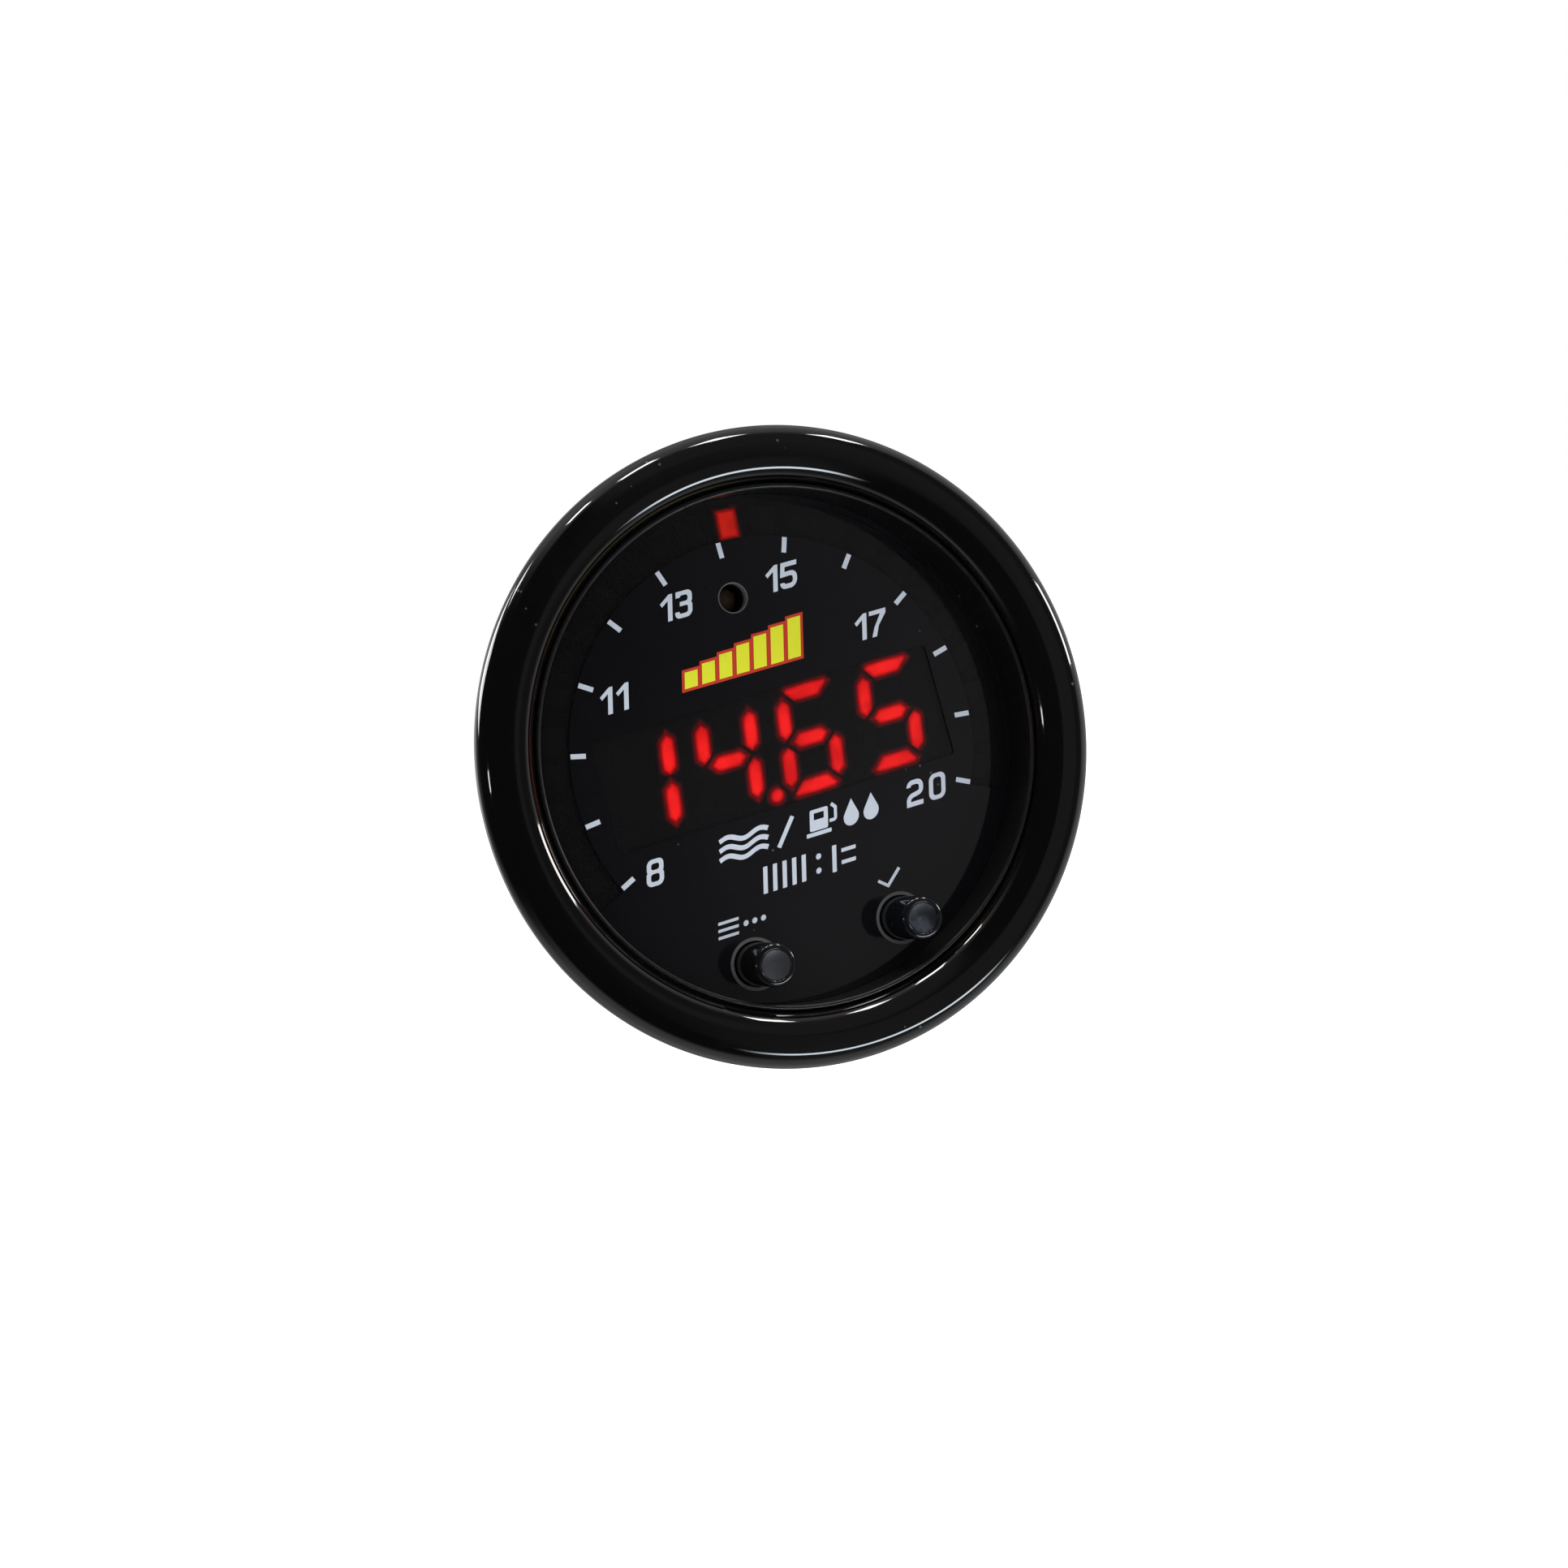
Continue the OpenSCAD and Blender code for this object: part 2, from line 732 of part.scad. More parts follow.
// Inside width of a socket with the given number of contact columns
function socket_in_w(columns) = columns * contact_pitch + socket_side_room;

module socket(columns) {
    w = socket_in_w(columns);
    h = socket_in_h;
    difference() {
        union() {
            hung_block([w + 2 * socket_wall, h + 2 * socket_wall, socket_h], board_back_z);
            translate([0, h / 2 + socket_wall + latch_t / 2 - slip, 0])
                hung_block([latch_w, latch_t, latch_h], board_back_z - socket_h + latch_h + cut);
        }
        hung_block([w, h, socket_h], board_back_z - socket_floor);
        at_contacts(columns)
            hung_block([contact_w + 2 * slip, contact_w + 2 * slip, socket_floor + 2 * cut], board_back_z + cut);
    }
}

module contacts(columns) {
    at_contacts(columns)
        hung_block([contact_w, contact_w, board_t + socket_floor + contact_len], board_z);
}

module power_socket() {
    color([0.07, 0.07, 0.07]) on_axis() translate([-socket_x, 0, 0]) socket(power_columns);
}

module power_contacts() {
    color([0.85, 0.75, 0.45]) on_axis() translate([-socket_x, 0, 0]) contacts(power_columns);
}

module sensor_socket() {
    color([0.07, 0.07, 0.07]) on_axis() translate([socket_x, 0, 0]) socket(sensor_columns);
}

module sensor_contacts() {
    color([0.85, 0.75, 0.45]) on_axis() translate([socket_x, 0, 0]) contacts(sensor_columns);
}

module at_inserts() {
    for (side = [-1, 1])
        translate([side * bracket_pitch / 2, 0, 0]) children();
}

module rear_cover() {
    skirt_r = bore_r - ease;
    color([0.06, 0.06, 0.065]) on_axis() difference() {
        union() {
            disc(2 * rear_r, rear_z, rear_z + cover_lip_t - slip);
            disc(2 * skirt_r, rear_z, cover_front_z);
            ring(2 * skirt_r, 2 * (skirt_r - skirt_t), rear_z, cover_front_z + skirt_h);
            at_legs() disc(pillar_d, rear_z, board_back_z);
            at_inserts() disc(2 * insert_boss_r, rear_z, rear_z + bracket_hole_len + insert_floor);
        }
        for (side = [-1, 1])
            translate([side * socket_x, 0, 0]) socket_clearance(side < 0 ? power_columns : sensor_columns);
        at_legs() disc(2 * (screw_r + ease), rear_z - cut, board_back_z + cut);
        at_legs() disc(2 * (screw_head_r + ease), rear_z - cut, rear_z + screw_head_h);
        at_inserts() disc(2 * (insert_r + insert_knurl_r + slip), rear_z - cut, rear_z + bracket_hole_len);
    }
}

module socket_clearance(columns) {
    w = socket_in_w(columns) + 2 * socket_wall + 2 * ease;
    h = socket_in_h + 2 * socket_wall + 2 * ease;
    block([w, h, cover_t + skirt_h + 2 * cut], rear_z - cut);
    translate([0, h / 2 + latch_t / 2, 0])
        block([latch_w + 2 * ease, latch_t + cut, cover_t + skirt_h + 2 * cut], rear_z - cut);
}

module stack_screws() {
    length = board_z + screw_bite - rear_z - screw_head_h;
    color([0.7, 0.7, 0.72]) on_axis() at_legs() difference() {
        union() {
            disc(2 * screw_head_r, rear_z + slip, rear_z + screw_head_h);
            translate([0, 0, rear_z + screw_head_h]) cylinder(r = screw_r, h = length - slip);
        }
        for (turn = [0, 90])
            rotate(turn) block([slot_len, slot_w, slot_depth + slip], rear_z);
    }
}

module bracket_inserts() {
    color([0.75, 0.6, 0.3]) on_axis() at_inserts() difference() {
        union() {
            disc(2 * insert_r, rear_z, rear_z + bracket_hole_len - slip);
            for (i = [0 : insert_knurls - 1])
                rotate(i * 360 / insert_knurls) translate([insert_r, 0, 0])
                    disc(2 * insert_knurl_r, rear_z + slot_w, rear_z + bracket_hole_len - slot_w);
        }
        disc(2 * bracket_hole_r, rear_z - cut, rear_z + bracket_hole_len + cut);
    }
}

bezel_ring();
case_body();
panel_gasket();
dial_film();
face_lens();
light_baffle();
bar_light_guides();
bar_leds();
display_body();
display_segments();
display_pins();
light_sensor();
main_board();
mode_button_cap();
select_button_cap();
mode_switch();
select_switch();
mode_plunger();
select_plunger();
microcontroller();
sensor_driver();
voltage_regulator();
filter_capacitors();
power_inductor();
clock_crystal();
ceramic_capacitors();
chip_resistors();
power_socket();
power_contacts();
sensor_socket();
sensor_contacts();
rear_cover();
stack_screws();
bracket_inserts();
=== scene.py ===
"""Looks of a round air and fuel ratio gauge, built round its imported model."""

import math

import bmesh
import bpy
from bpy.props import FloatProperty, FloatVectorProperty, IntProperty, PointerProperty, StringProperty
from mathutils import Matrix, Vector
from mathutils.geometry import tessellate_polygon


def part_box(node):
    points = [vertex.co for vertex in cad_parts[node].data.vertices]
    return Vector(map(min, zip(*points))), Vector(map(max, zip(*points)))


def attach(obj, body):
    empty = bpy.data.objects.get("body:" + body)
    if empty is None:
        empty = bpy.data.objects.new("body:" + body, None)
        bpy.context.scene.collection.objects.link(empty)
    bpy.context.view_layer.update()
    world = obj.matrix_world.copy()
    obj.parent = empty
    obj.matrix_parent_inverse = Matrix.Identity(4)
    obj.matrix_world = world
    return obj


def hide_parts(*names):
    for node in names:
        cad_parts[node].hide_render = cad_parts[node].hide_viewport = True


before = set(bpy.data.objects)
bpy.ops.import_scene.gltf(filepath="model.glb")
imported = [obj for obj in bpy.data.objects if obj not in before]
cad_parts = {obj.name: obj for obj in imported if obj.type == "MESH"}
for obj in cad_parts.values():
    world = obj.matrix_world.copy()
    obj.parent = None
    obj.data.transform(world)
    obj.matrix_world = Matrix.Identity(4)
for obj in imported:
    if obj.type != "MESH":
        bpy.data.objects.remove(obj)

bl_info = {
    "name": "Ratio gauge looks",
    "version": (1, 0, 0),
    "blender": (4, 5, 0),
    "location": "View3D > Sidebar > Gauge",
    "description": "Gives the packed gauge its finishes, prints, lit display and studio stage",
    "category": "Object",
}

GAUGE = "gauge"
MODE_BUTTON = "mode_button"
SELECT_BUTTON = "select_button"

MM = 0.001
# Edges that turn by more than this, in degrees, are shaded sharp
SHARP_ANGLE = 35
# A point nearer the axis than this lies on it
ON_AXIS = 1e-7


# Outlines and solids, all in metres


def place(x, y, z):
    """A point of the drawing, with z out of the face, in the gauge's own frame."""
    return Vector((x, -z, y))


def drawn_box(node):
    """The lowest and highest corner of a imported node, in the drawing's axes."""
    low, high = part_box(node)
    return Vector((low.x, low.z, -high.y)), Vector((high.x, high.z, -low.y))


def fillet(corners, steps=8):
    """An outline with each corner (x, y, radius) rounded. A corner with no radius stays sharp."""
    points = []
    for i, corner in enumerate(corners):
        here = Vector(corner[:2])
        radius = corner[2] if len(corner) > 2 else 0
        if not radius:
            points.append(here)
            continue
        before = (Vector(corners[i - 1][:2]) - here).normalized()
        after = (Vector(corners[(i + 1) % len(corners)][:2]) - here).normalized()
        half = before.angle(after) / 2
        centre = here + (before + after).normalized() * (radius / math.sin(half))
        first = here + before * (radius / math.tan(half)) - centre
        last = here + after * (radius / math.tan(half)) - centre
        sweep = math.pi - 2 * half
        for k in range(steps + 1):
            part = k / steps
            swung = first * math.sin((1 - part) * sweep) + last * math.sin(part * sweep)
            points.append(centre + swung / math.sin(sweep))
    return points


def circle(x, y, radius, count=96):
    """The outline of a disc."""
    turn = 2 * math.pi / count
    return [Vector((x + radius * math.cos(i * turn), y + radius * math.sin(i * turn))) for i in range(count)]


def rectangle(x, y, width, height, radius=0, steps=6):
    """The outline of a rectangle round its centre, with rounded corners."""
    w, h = width / 2, height / 2
    corners = [(x - w, y - h), (x + w, y - h), (x + w, y + h), (x - w, y + h)]
    return fillet([(*corner, radius) for corner in corners], steps)


def block(low_x, low_y, high_x, high_y):
    """The outline of a sharp rectangle, from its lowest to its highest corner."""
    return [Vector(p) for p in ((low_x, low_y), (high_x, low_y), (high_x, high_y), (low_x, high_y))]


def arc(radius, first, last, count):
    """Points along an arc round the axis, in degrees."""
    angles = [math.radians(first + (last - first) * i / (count - 1)) for i in range(count)]
    return [Vector((radius * math.cos(a), radius * math.sin(a))) for a in angles]


def pen_line(points, width, sharpest=0.3):
    """The outline of an open line drawn with a square-ended pen. A bend is 1 / sharpest pens wide at most."""
    left, right = [], []
    for i, point in enumerate(points):
        before = (point - points[i - 1]).normalized() if i else None
        after = (points[i + 1] - point).normalized() if i + 1 < len(points) else None
        along = ((before or after) + (after or before)).normalized()
        across = Vector((-along.y, along.x))
        stretch = 1 / max(sharpest, along.dot(after or before))
        left.append(point + across * (width / 2 * stretch))
        right.append(point - across * (width / 2 * stretch))
    return left + right[::-1]


def shrink(outline, by, sharpest=0.2):
    """A convex outline, drawn against the clock, with each side moved in, or out where by is below 0."""
    count = len(outline)
    moved = []
    for i in range(count):
        here = outline[i]
        before = (here - outline[i - 1]).normalized()
        after = (outline[(i + 1) % count] - here).normalized()
        inward = Vector((-before.y - after.y, before.x + after.x)).normalized()
        square = Vector((-after.y, after.x))
        moved.append(here + inward * (by / max(sharpest, inward.dot(square))))
    return moved


def lean(points, degrees, base=0):
    """Leans an outline to the right about a base line."""
    slope = math.tan(math.radians(degrees))
    return [Vector((p.x + (p.y - base) * slope, p.y)) for p in points]


def shift(points, x, y):
    """Moves an outline."""
    return [Vector((p.x + x, p.y + y)) for p in points]


def middle(loops):
    """The middle of the box round some outlines."""
    xs = [p.x for loop in loops for p in loop]
    ys = [p.y for loop in loops for p in loop]
    return (min(xs) + max(xs)) / 2, (min(ys) + max(ys)) / 2


def add_slab(bm, loops, low, high):
    """Adds a flat plate between two heights. The first loop is its outline and the others are its holes."""
    triangles = tessellate_polygon([[Vector((p.x, p.y, 0)) for p in loop] for loop in loops])
    points = [p for loop in loops for p in loop]
    top = [bm.verts.new(place(p.x, p.y, high)) for p in points]
    bottom = [bm.verts.new(place(p.x, p.y, low)) for p in points]
    for a, b, c in triangles:
        bm.faces.new((top[a], top[b], top[c]))
        bm.faces.new((bottom[c], bottom[b], bottom[a]))
    start = 0
    for loop in loops:
        for i in range(len(loop)):
            a, b = start + i, start + (i + 1) % len(loop)
            bm.faces.new((top[a], top[b], bottom[b], bottom[a]))
        start += len(loop)


def add_lathe(bm, outline, x=0.0, y=0.0, turns=96):
    """Turns a profile of (radius, height) points round an axis at (x, y). Points on the axis close it."""
    rings = []
    for radius, height in outline:
        if radius < ON_AXIS:
            rings.append([bm.verts.new(place(x, y, height))])
        else:
            rings.append([bm.verts.new(place(p.x, p.y, height)) for p in circle(x, y, radius, turns)])
    open_ended = len(rings[0]) == 1
    for i in range(len(rings) - 1 if open_ended else len(rings)):
        one, two = rings[i], rings[(i + 1) % len(rings)]
        for k in range(turns):
            n = (k + 1) % turns
            if len(one) == 1:
                bm.faces.new((one[0], two[k], two[n]))
            elif len(two) == 1:
                bm.faces.new((one[k], one[n], two[0]))
            else:
                bm.faces.new((one[k], one[n], two[n], two[k]))


def add_keyed_lathe(bm, outline, half, floor, top, turns):
    """Turns a profile round the axis, with a flat slot along the top that runs back from a height.

    A column of points stands at an angle or, in the slot and on its lips, at an x of its own.
    """
    lip = 0.00001
    clearance = 1.1
    reach = min(point.x for point in outline)
    angles = [math.pi / 2 + k * 2 * math.pi / turns for k in range(turns)]
    columns = [(a, None) for a in angles if abs(reach * math.cos(a)) > half * clearance or math.sin(a) < 0]
    columns += [(None, x) for x in (half + lip, half, half / 2, 0, -half / 2, -half, -half - lip)]
    rings = []
    for radius, height in outline:
        ring = []
        for angle, x in columns:
            if x is None:
                ring.append(bm.verts.new(place(radius * math.cos(angle), radius * math.sin(angle), height)))
                continue
            y = math.sqrt(radius**2 - x**2)
            if abs(x) <= half and height <= top:
                y = min(y, floor)
            ring.append(bm.verts.new(place(x, y, height)))
        rings.append(ring)
    for i, one in enumerate(rings):
        two = rings[(i + 1) % len(rings)]
        for k in range(len(columns)):
            n = (k + 1) % len(columns)
            bm.faces.new((one[k], one[n], two[n], two[k]))


def add_object(name, data):
    """Puts a mesh, a lamp or a camera in the scene."""
    item = bpy.data.objects.new(name, data)
    bpy.context.scene.collection.objects.link(item)
    return item


def close_mesh(name, bm):
    """Turns a drawn mesh into Blender's own, with its faces outwards."""
    bmesh.ops.recalc_face_normals(bm, faces=bm.faces)
    mesh = bpy.data.meshes.new(name)
    bm.to_mesh(mesh)
    bm.free()
    return mesh


def shade(mesh, sharp=SHARP_ANGLE):
    """Shades a mesh smooth but for its sharp edges, in degrees."""
    mesh.shade_smooth()
    mesh.set_sharp_from_angle(angle=math.radians(sharp))


def make_piece(name, mesh, material, sharp=SHARP_ANGLE):
    """Shades a finished mesh and puts it in the scene under its own name."""
    mesh.name = name
    shade(mesh, sharp)
    mesh.materials.clear()
    mesh.materials.append(material)
    return add_object(name, mesh)


def make_object(name, bm, material, sharp=SHARP_ANGLE):
    """Turns a drawn mesh into a piece at the origin."""
    return make_piece(name, close_mesh(name, bm), material, sharp)


def seat(piece, body, slot, *nodes):
    """Lets a piece ride on its body and hides the imported nodes that it stands for. Its slot is not used."""
    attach(piece, body)
    if nodes:
        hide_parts(*nodes)
    return piece


def evaluated_mesh(piece):
    """A plain mesh of an object with its modifiers applied."""
    return bpy.data.meshes.new_from_object(piece.evaluated_get(bpy.context.evaluated_depsgraph_get()))


def carve(piece, low, high):
    """Cuts a block out of a piece, from its lowest to its highest corner in the drawing."""
    bm = bmesh.new()
    add_slab(bm, [block(low.x, low.y, high.x, high.y)], low.z, high.z)
    cutter = add_object("cutter", close_mesh("cutter", bm))
    cut = piece.modifiers.new("cut", "BOOLEAN")
    cut.operation = "DIFFERENCE"
    cut.solver = "EXACT"
    cut.object = cutter
    mesh = evaluated_mesh(piece)
    piece.modifiers.clear()
    mesh.name = piece.data.name
    piece.data = mesh
    shade(mesh)
    bpy.data.objects.remove(cutter)


# Node trees written as expressions


class Wire:
    """A node's socket. Maths written on it adds Math nodes to its tree."""

    def __init__(self, tree, socket):
        self.tree = tree
        self.socket = socket

    def maths(self, operation, *values):
        """Adds a Math node."""
        return self.tree.node("ShaderNodeMath", {"operation": operation}, dict(enumerate(values)))

    def __add__(self, other):
        return self.maths("ADD", self, other)

    def __radd__(self, other):
        return self.maths("ADD", other, self)

    def __sub__(self, other):
        return self.maths("SUBTRACT", self, other)

    def __rsub__(self, other):
        return self.maths("SUBTRACT", other, self)

    def __mul__(self, other):
        return self.maths("MULTIPLY", self, other)

    def __rmul__(self, other):
        return self.maths("MULTIPLY", other, self)

    def __pow__(self, other):
        return self.maths("POWER", self, other)

    def __gt__(self, other):
        return self.maths("GREATER_THAN", self, other)

    def __lt__(self, other):
        return self.maths("LESS_THAN", self, other)

    def __abs__(self):
        return self.maths("ABSOLUTE", self)


class Tree:
    """A node tree that is filled by expressions."""

    def __init__(self, tree):
        self.tree = tree
        self.nodes = tree.nodes
        self.links = tree.links

    def feed(self, socket, value):
        """Gives a socket its value, or links it."""
        if isinstance(value, Wire):
            self.links.new(value.socket, socket)
        elif isinstance(value, list):
            for wire in reversed(value):
                self.links.new(wire.socket, socket)
        elif value is not None:
            socket.default_value = value

    def node(self, kind, settings=None, sockets=None, output=0):
        """Adds a node: its type, its settings, then the values or links of its sockets."""
        node = self.nodes.new(kind)
        for key, value in (settings or {}).items():
            setattr(node, key, value)
        for key, value in (sockets or {}).items():
            self.feed(node.inputs[key], value)
        return Wire(self, node.outputs[output]) if node.outputs else node

    def vector(self, x, y, z):
        """Three numbers as one vector."""
        return self.node("ShaderNodeCombineXYZ", {}, {"X": x, "Y": y, "Z": z})

    def ray(self, kind):
        """A mask of one kind of ray."""
        return self.node("ShaderNodeLightPath", {}, {}, kind)

    def ramp(self, value, low, high):
        """A smooth step from 0 at low to 1 at high."""
        return self.node(
            "ShaderNodeMapRange",
            {"interpolation_type": "SMOOTHSTEP"},
            {"Value": value, "From Min": low, "From Max": high},
        )


class Finish(Tree):
    """A material made of nodes. Its constants are set on the shader's own sockets."""

    def __init__(self, name, **constants):
        self.material = bpy.data.materials.new(name)
        self.material.use_nodes = True
        super().__init__(self.material.node_tree)
        self.nodes.clear()
        self.output = self.nodes.new("ShaderNodeOutputMaterial")
        self.shader = self.nodes.new("ShaderNodeBsdfPrincipled")
        self.links.new(self.shader.outputs["BSDF"], self.output.inputs["Surface"])
        for key, value in constants.items():
            self.set(key.replace("_", " "), value)
        self.place_wire = None

    def set(self, socket, value):
        """Feeds one of the shader's sockets, named in lower case."""
        for candidate in self.shader.inputs:
            if candidate.name.lower() == socket:
                self.feed(candidate, value)
                return
        raise KeyError(socket)

    @property
    def spot(self):
        """Where a point lies on the piece."""
        if self.place_wire is None:
            self.place_wire = self.node("ShaderNodeTexCoord", {}, {}, "Object")
        return self.place_wire

    def axis(self, name):
        """One part of a point's place."""
        return self.node("ShaderNodeSeparateXYZ", {}, {"Vector": self.spot}, name)

    def noise(self, scale, detail=2.0, roughness=0.5, vector=None):
        """Soft noise between 0 and 1."""
        return self.node(
            "ShaderNodeTexNoise",
            {},
            {"Vector": vector or self.spot, "Scale": scale, "Detail": detail, "Roughness": roughness},
        )

    def cells(self, scale, vector=None):
        """The distance to the nearest of many scattered points."""
        sockets = {"Vector": vector or self.spot, "Scale": scale}
        return self.node("ShaderNodeTexVoronoi", {"feature": "F1"}, sockets)

    def blend(self, one, two, mask):
        """A colour between two others."""
        one = (*one, 1) if isinstance(one, tuple) else one
        two = (*two, 1) if isinstance(two, tuple) else two
        return self.node("ShaderNodeMix", {"data_type": "RGBA"}, {0: mask, 6: one, 7: two}, 2)

    def stretch(self, x, y, z):
        """The point's place with each axis scaled."""
        sockets = {"Vector": self.spot, "Scale": (x, y, z)}
        return self.node("ShaderNodeMapping", {"vector_type": "POINT"}, sockets)

    def relief(self, height, depth):
        """Raises the surface by a height between 0 and 1, times a depth in metres."""
        bump = self.node("ShaderNodeBump", {}, {"Strength": 1.0, "Distance": depth, "Height": height})
        self.set("normal", bump)

    def dust(self, scale, size, share):
        """A mask of small specks: a share of the cells holds one each."""
        speck = self.cells(scale) < size
        picked = self.noise(scale * 0.23, 0, 0.5) > share
        return speck * picked


class Pattern(Tree):
    """A Geometry Nodes tree with named inputs, applied to a mesh of bare points."""

    KINDS = {int: "NodeSocketInt", float: "NodeSocketFloat", "object": "NodeSocketObject"}

    def __init__(self, name, inputs):
        super().__init__(bpy.data.node_groups.new(name, "GeometryNodeTree"))
        self.identifiers = {}
        self.tree.interface.new_socket("Points", in_out="INPUT", socket_type="NodeSocketGeometry")
        for label, kind in inputs.items():
            socket = self.tree.interface.new_socket(label, in_out="INPUT", socket_type=self.KINDS[kind])
            self.identifiers[label] = socket.identifier
        self.tree.interface.new_socket("Piece", in_out="OUTPUT", socket_type="NodeSocketGeometry")
        self.source = self.nodes.new("NodeGroupInput")
        self.result = self.nodes.new("NodeGroupOutput")

    def value(self, label):
        """One of the tree's named inputs."""
        return Wire(self, self.source.outputs[label])

    def copies(self, points, instance, rotation=None, selection=None):
        """A copy of something at each point."""
        return self.node(
            "GeometryNodeInstanceOnPoints",
            {},
            {"Points": points, "Instance": instance, "Rotation": rotation, "Selection": selection},
        )

    def moved(self, geometry, turn=None, offset=None):
        """The geometry turned, then moved."""
        sockets = {"Geometry": geometry, "Rotation": turn, "Translation": offset}
        return self.node("GeometryNodeTransform", {}, sockets)

    def end(self, geometry, material):
        """Closes the tree with Realize Instances and Set Material."""
        real = self.node("GeometryNodeRealizeInstances", {}, {"Geometry": geometry})
        painted = self.node("GeometryNodeSetMaterial", {}, {"Geometry": real, "Material": material})
        self.feed(self.result.inputs["Piece"], painted)

    def bake(self, name, points, values, material, sharp=35):
        """Sets the inputs, evaluates the tree once and returns a plain piece."""
        mesh = bpy.data.meshes.new(name + "_points")
        mesh.from_pydata([place(*point) for point in points], [], [])
        host = add_object(name + "_points", mesh)
        modifier = host.modifiers.new("pattern", "NODES")
        modifier.node_group = self.tree
        for label, value in values.items():
            modifier[self.identifiers[label]] = value
        result = evaluated_mesh(host)
        host.modifiers.clear()
        bpy.data.objects.remove(host)
        return make_piece(name, result, material, sharp)


# Finishes. A noise's or a cell pattern's scale is in cells to a metre, and a relief's depth is in metres

DUST = (0.05, 0.05, 0.05)
SMEAR = (0.012, 0.013, 0.015)
TINNED = (0.72, 0.72, 0.7)
BLACK = (0.0, 0.0, 0.0)
WHITE = (1.0, 1.0, 1.0)


def scaled(colour, factor):
    """A colour made lighter or darker."""
    return tuple(min(1, c * factor) for c in colour)


def gloss_finish(name, colour, roughness, dust_share, relief_depth=0.0000015, ior=1.5):
    """Black moulded plastic with a deep shine, faint ripples, fine dust and a few soft smears."""
    finish = Finish(name, specular_ior_level=0.5, ior=ior)
    dust = finish.dust(900, 0.13, dust_share)
    smear = finish.ramp(finish.noise(140, 3, 0.6, finish.stretch(1.0, 1.0, 0.35)), 0.58, 0.78)
    tone = finish.noise(60, 2)
    base = finish.blend(colour, scaled(colour, 1.6), tone)
    base = finish.blend(base, SMEAR, smear * 0.15)
    finish.set("base color", finish.blend(base, DUST, dust * 0.7))
    finish.set("roughness", finish.noise(220, 3) * 0.03 + smear * 0.08 + dust * 0.4 + (roughness - 0.015))
    finish.relief(finish.noise(260, 2), relief_depth)
    return finish.material


def moulded_finish(name, colour, roughness=0.45, grain=2600, depth=0.00001, light=1.7):
    """Satin moulded plastic with a fine spark-eroded grain and slight tone changes."""
    finish = Finish(name, specular_ior_level=0.45)
    grain_wire = finish.noise(grain, 3, 0.6)
    rub = finish.ramp(finish.noise(90, 4, 0.65), 0.52, 0.8)
    base = finish.blend(colour, scaled(colour, light), rub * 0.6 + grain_wire * 0.3)
    finish.set("base color", base)
    finish.set("roughness", grain_wire * 0.16 + (roughness - 0.08) - rub * 0.08)
    finish.relief(grain_wire, depth)
    return finish.material


def foam_finish(name, colour):
    """Closed-cell foam: small round cells whose pits are painted darker, a painted shade."""
    finish = Finish(name, specular_ior_level=0.25)
    cell = finish.cells(4200)
    # The hollow middles of the cells are painted darker: painted shade in the pits
    finish.set("base color", finish.blend(scaled(colour, 0.4), colour, finish.ramp(cell, 0.0, 0.5)))
    finish.set("roughness", cell * 0.1 + 0.82)
    finish.relief(cell, 0.00006)
    return finish.material


def metal_finish(name, colour, roughness):
    """Plated metal with a fine brushed grain and slight tarnish."""
    finish = Finish(name, metallic=1.0)
    grain = finish.noise(5200, 2, 0.6, finish.stretch(1.0, 0.12, 1.0))
    tarnish = finish.ramp(finish.noise(420, 4, 0.6), 0.5, 0.75)
    dark = scaled(colour, 0.72)
    finish.set("base color", finish.blend(colour, dark, tarnish * 0.6 + grain * 0.25))
    finish.set("roughness", grain * 0.14 + tarnish * 0.12 + (roughness - 0.05))
    finish.relief(grain, 0.000003)
    return finish.material


def ink_finish(name, colour, cover=0.14):
    """Screen-printed ink: an even matt colour with a fine screen and slightly thin spots."""
    finish = Finish(name, specular_ior_level=0.4)
    screen = finish.noise(7000, 2, 0.6)
    thin = finish.ramp(finish.noise(1500, 3, 0.6), 0.55, 0.85)
    darker = scaled(colour, 1 - cover)
    finish.set("base color", finish.blend(colour, darker, screen * 0.5 + thin * 0.5))
    finish.set("roughness", screen * 0.12 + 0.4)
    finish.relief(screen, 0.000003)
    return finish.material


def lit_finish(name, core, edge, strength):
    """A lit area, from the piece's glow attribute: bright in the middle, deep at its edges and uneven."""
    finish = Finish(name, specular_ior_level=0.2, roughness=0.5, emission_strength=strength)
    glow = finish.node("ShaderNodeAttribute", {"attribute_name": "glow"}, {}, "Fac")
    uneven = finish.noise(420, 2, 0.5)
    level = finish.ramp(glow, 0.02, 0.85) * (0.4 + 1.2 * uneven)
    finish.set("base color", finish.blend((0.012, 0.003, 0.003), (0.08, 0.004, 0.004), glow))
    hot = finish.ramp(level, 0.5, 1.2)
    colour = finish.blend(finish.blend(BLACK, edge, finish.ramp(level, 0.0, 0.5)), core, hot)
    finish.set("emission color", colour)
    return finish.material


def smoked_finish(name, colour, alpha):
    """Smoked clear plastic that hides what isn't lit behind it."""
    finish = Finish(name, specular_ior_level=0.5, ior=1.59, alpha=alpha)
    haze = finish.noise(120, 3)
    finish.set("base color", finish.blend(colour, scaled(colour, 1.5), haze))
    finish.set("roughness", haze * 0.03 + 0.035)
    finish.relief(finish.noise(240, 2), 0.000001)
    return finish.material


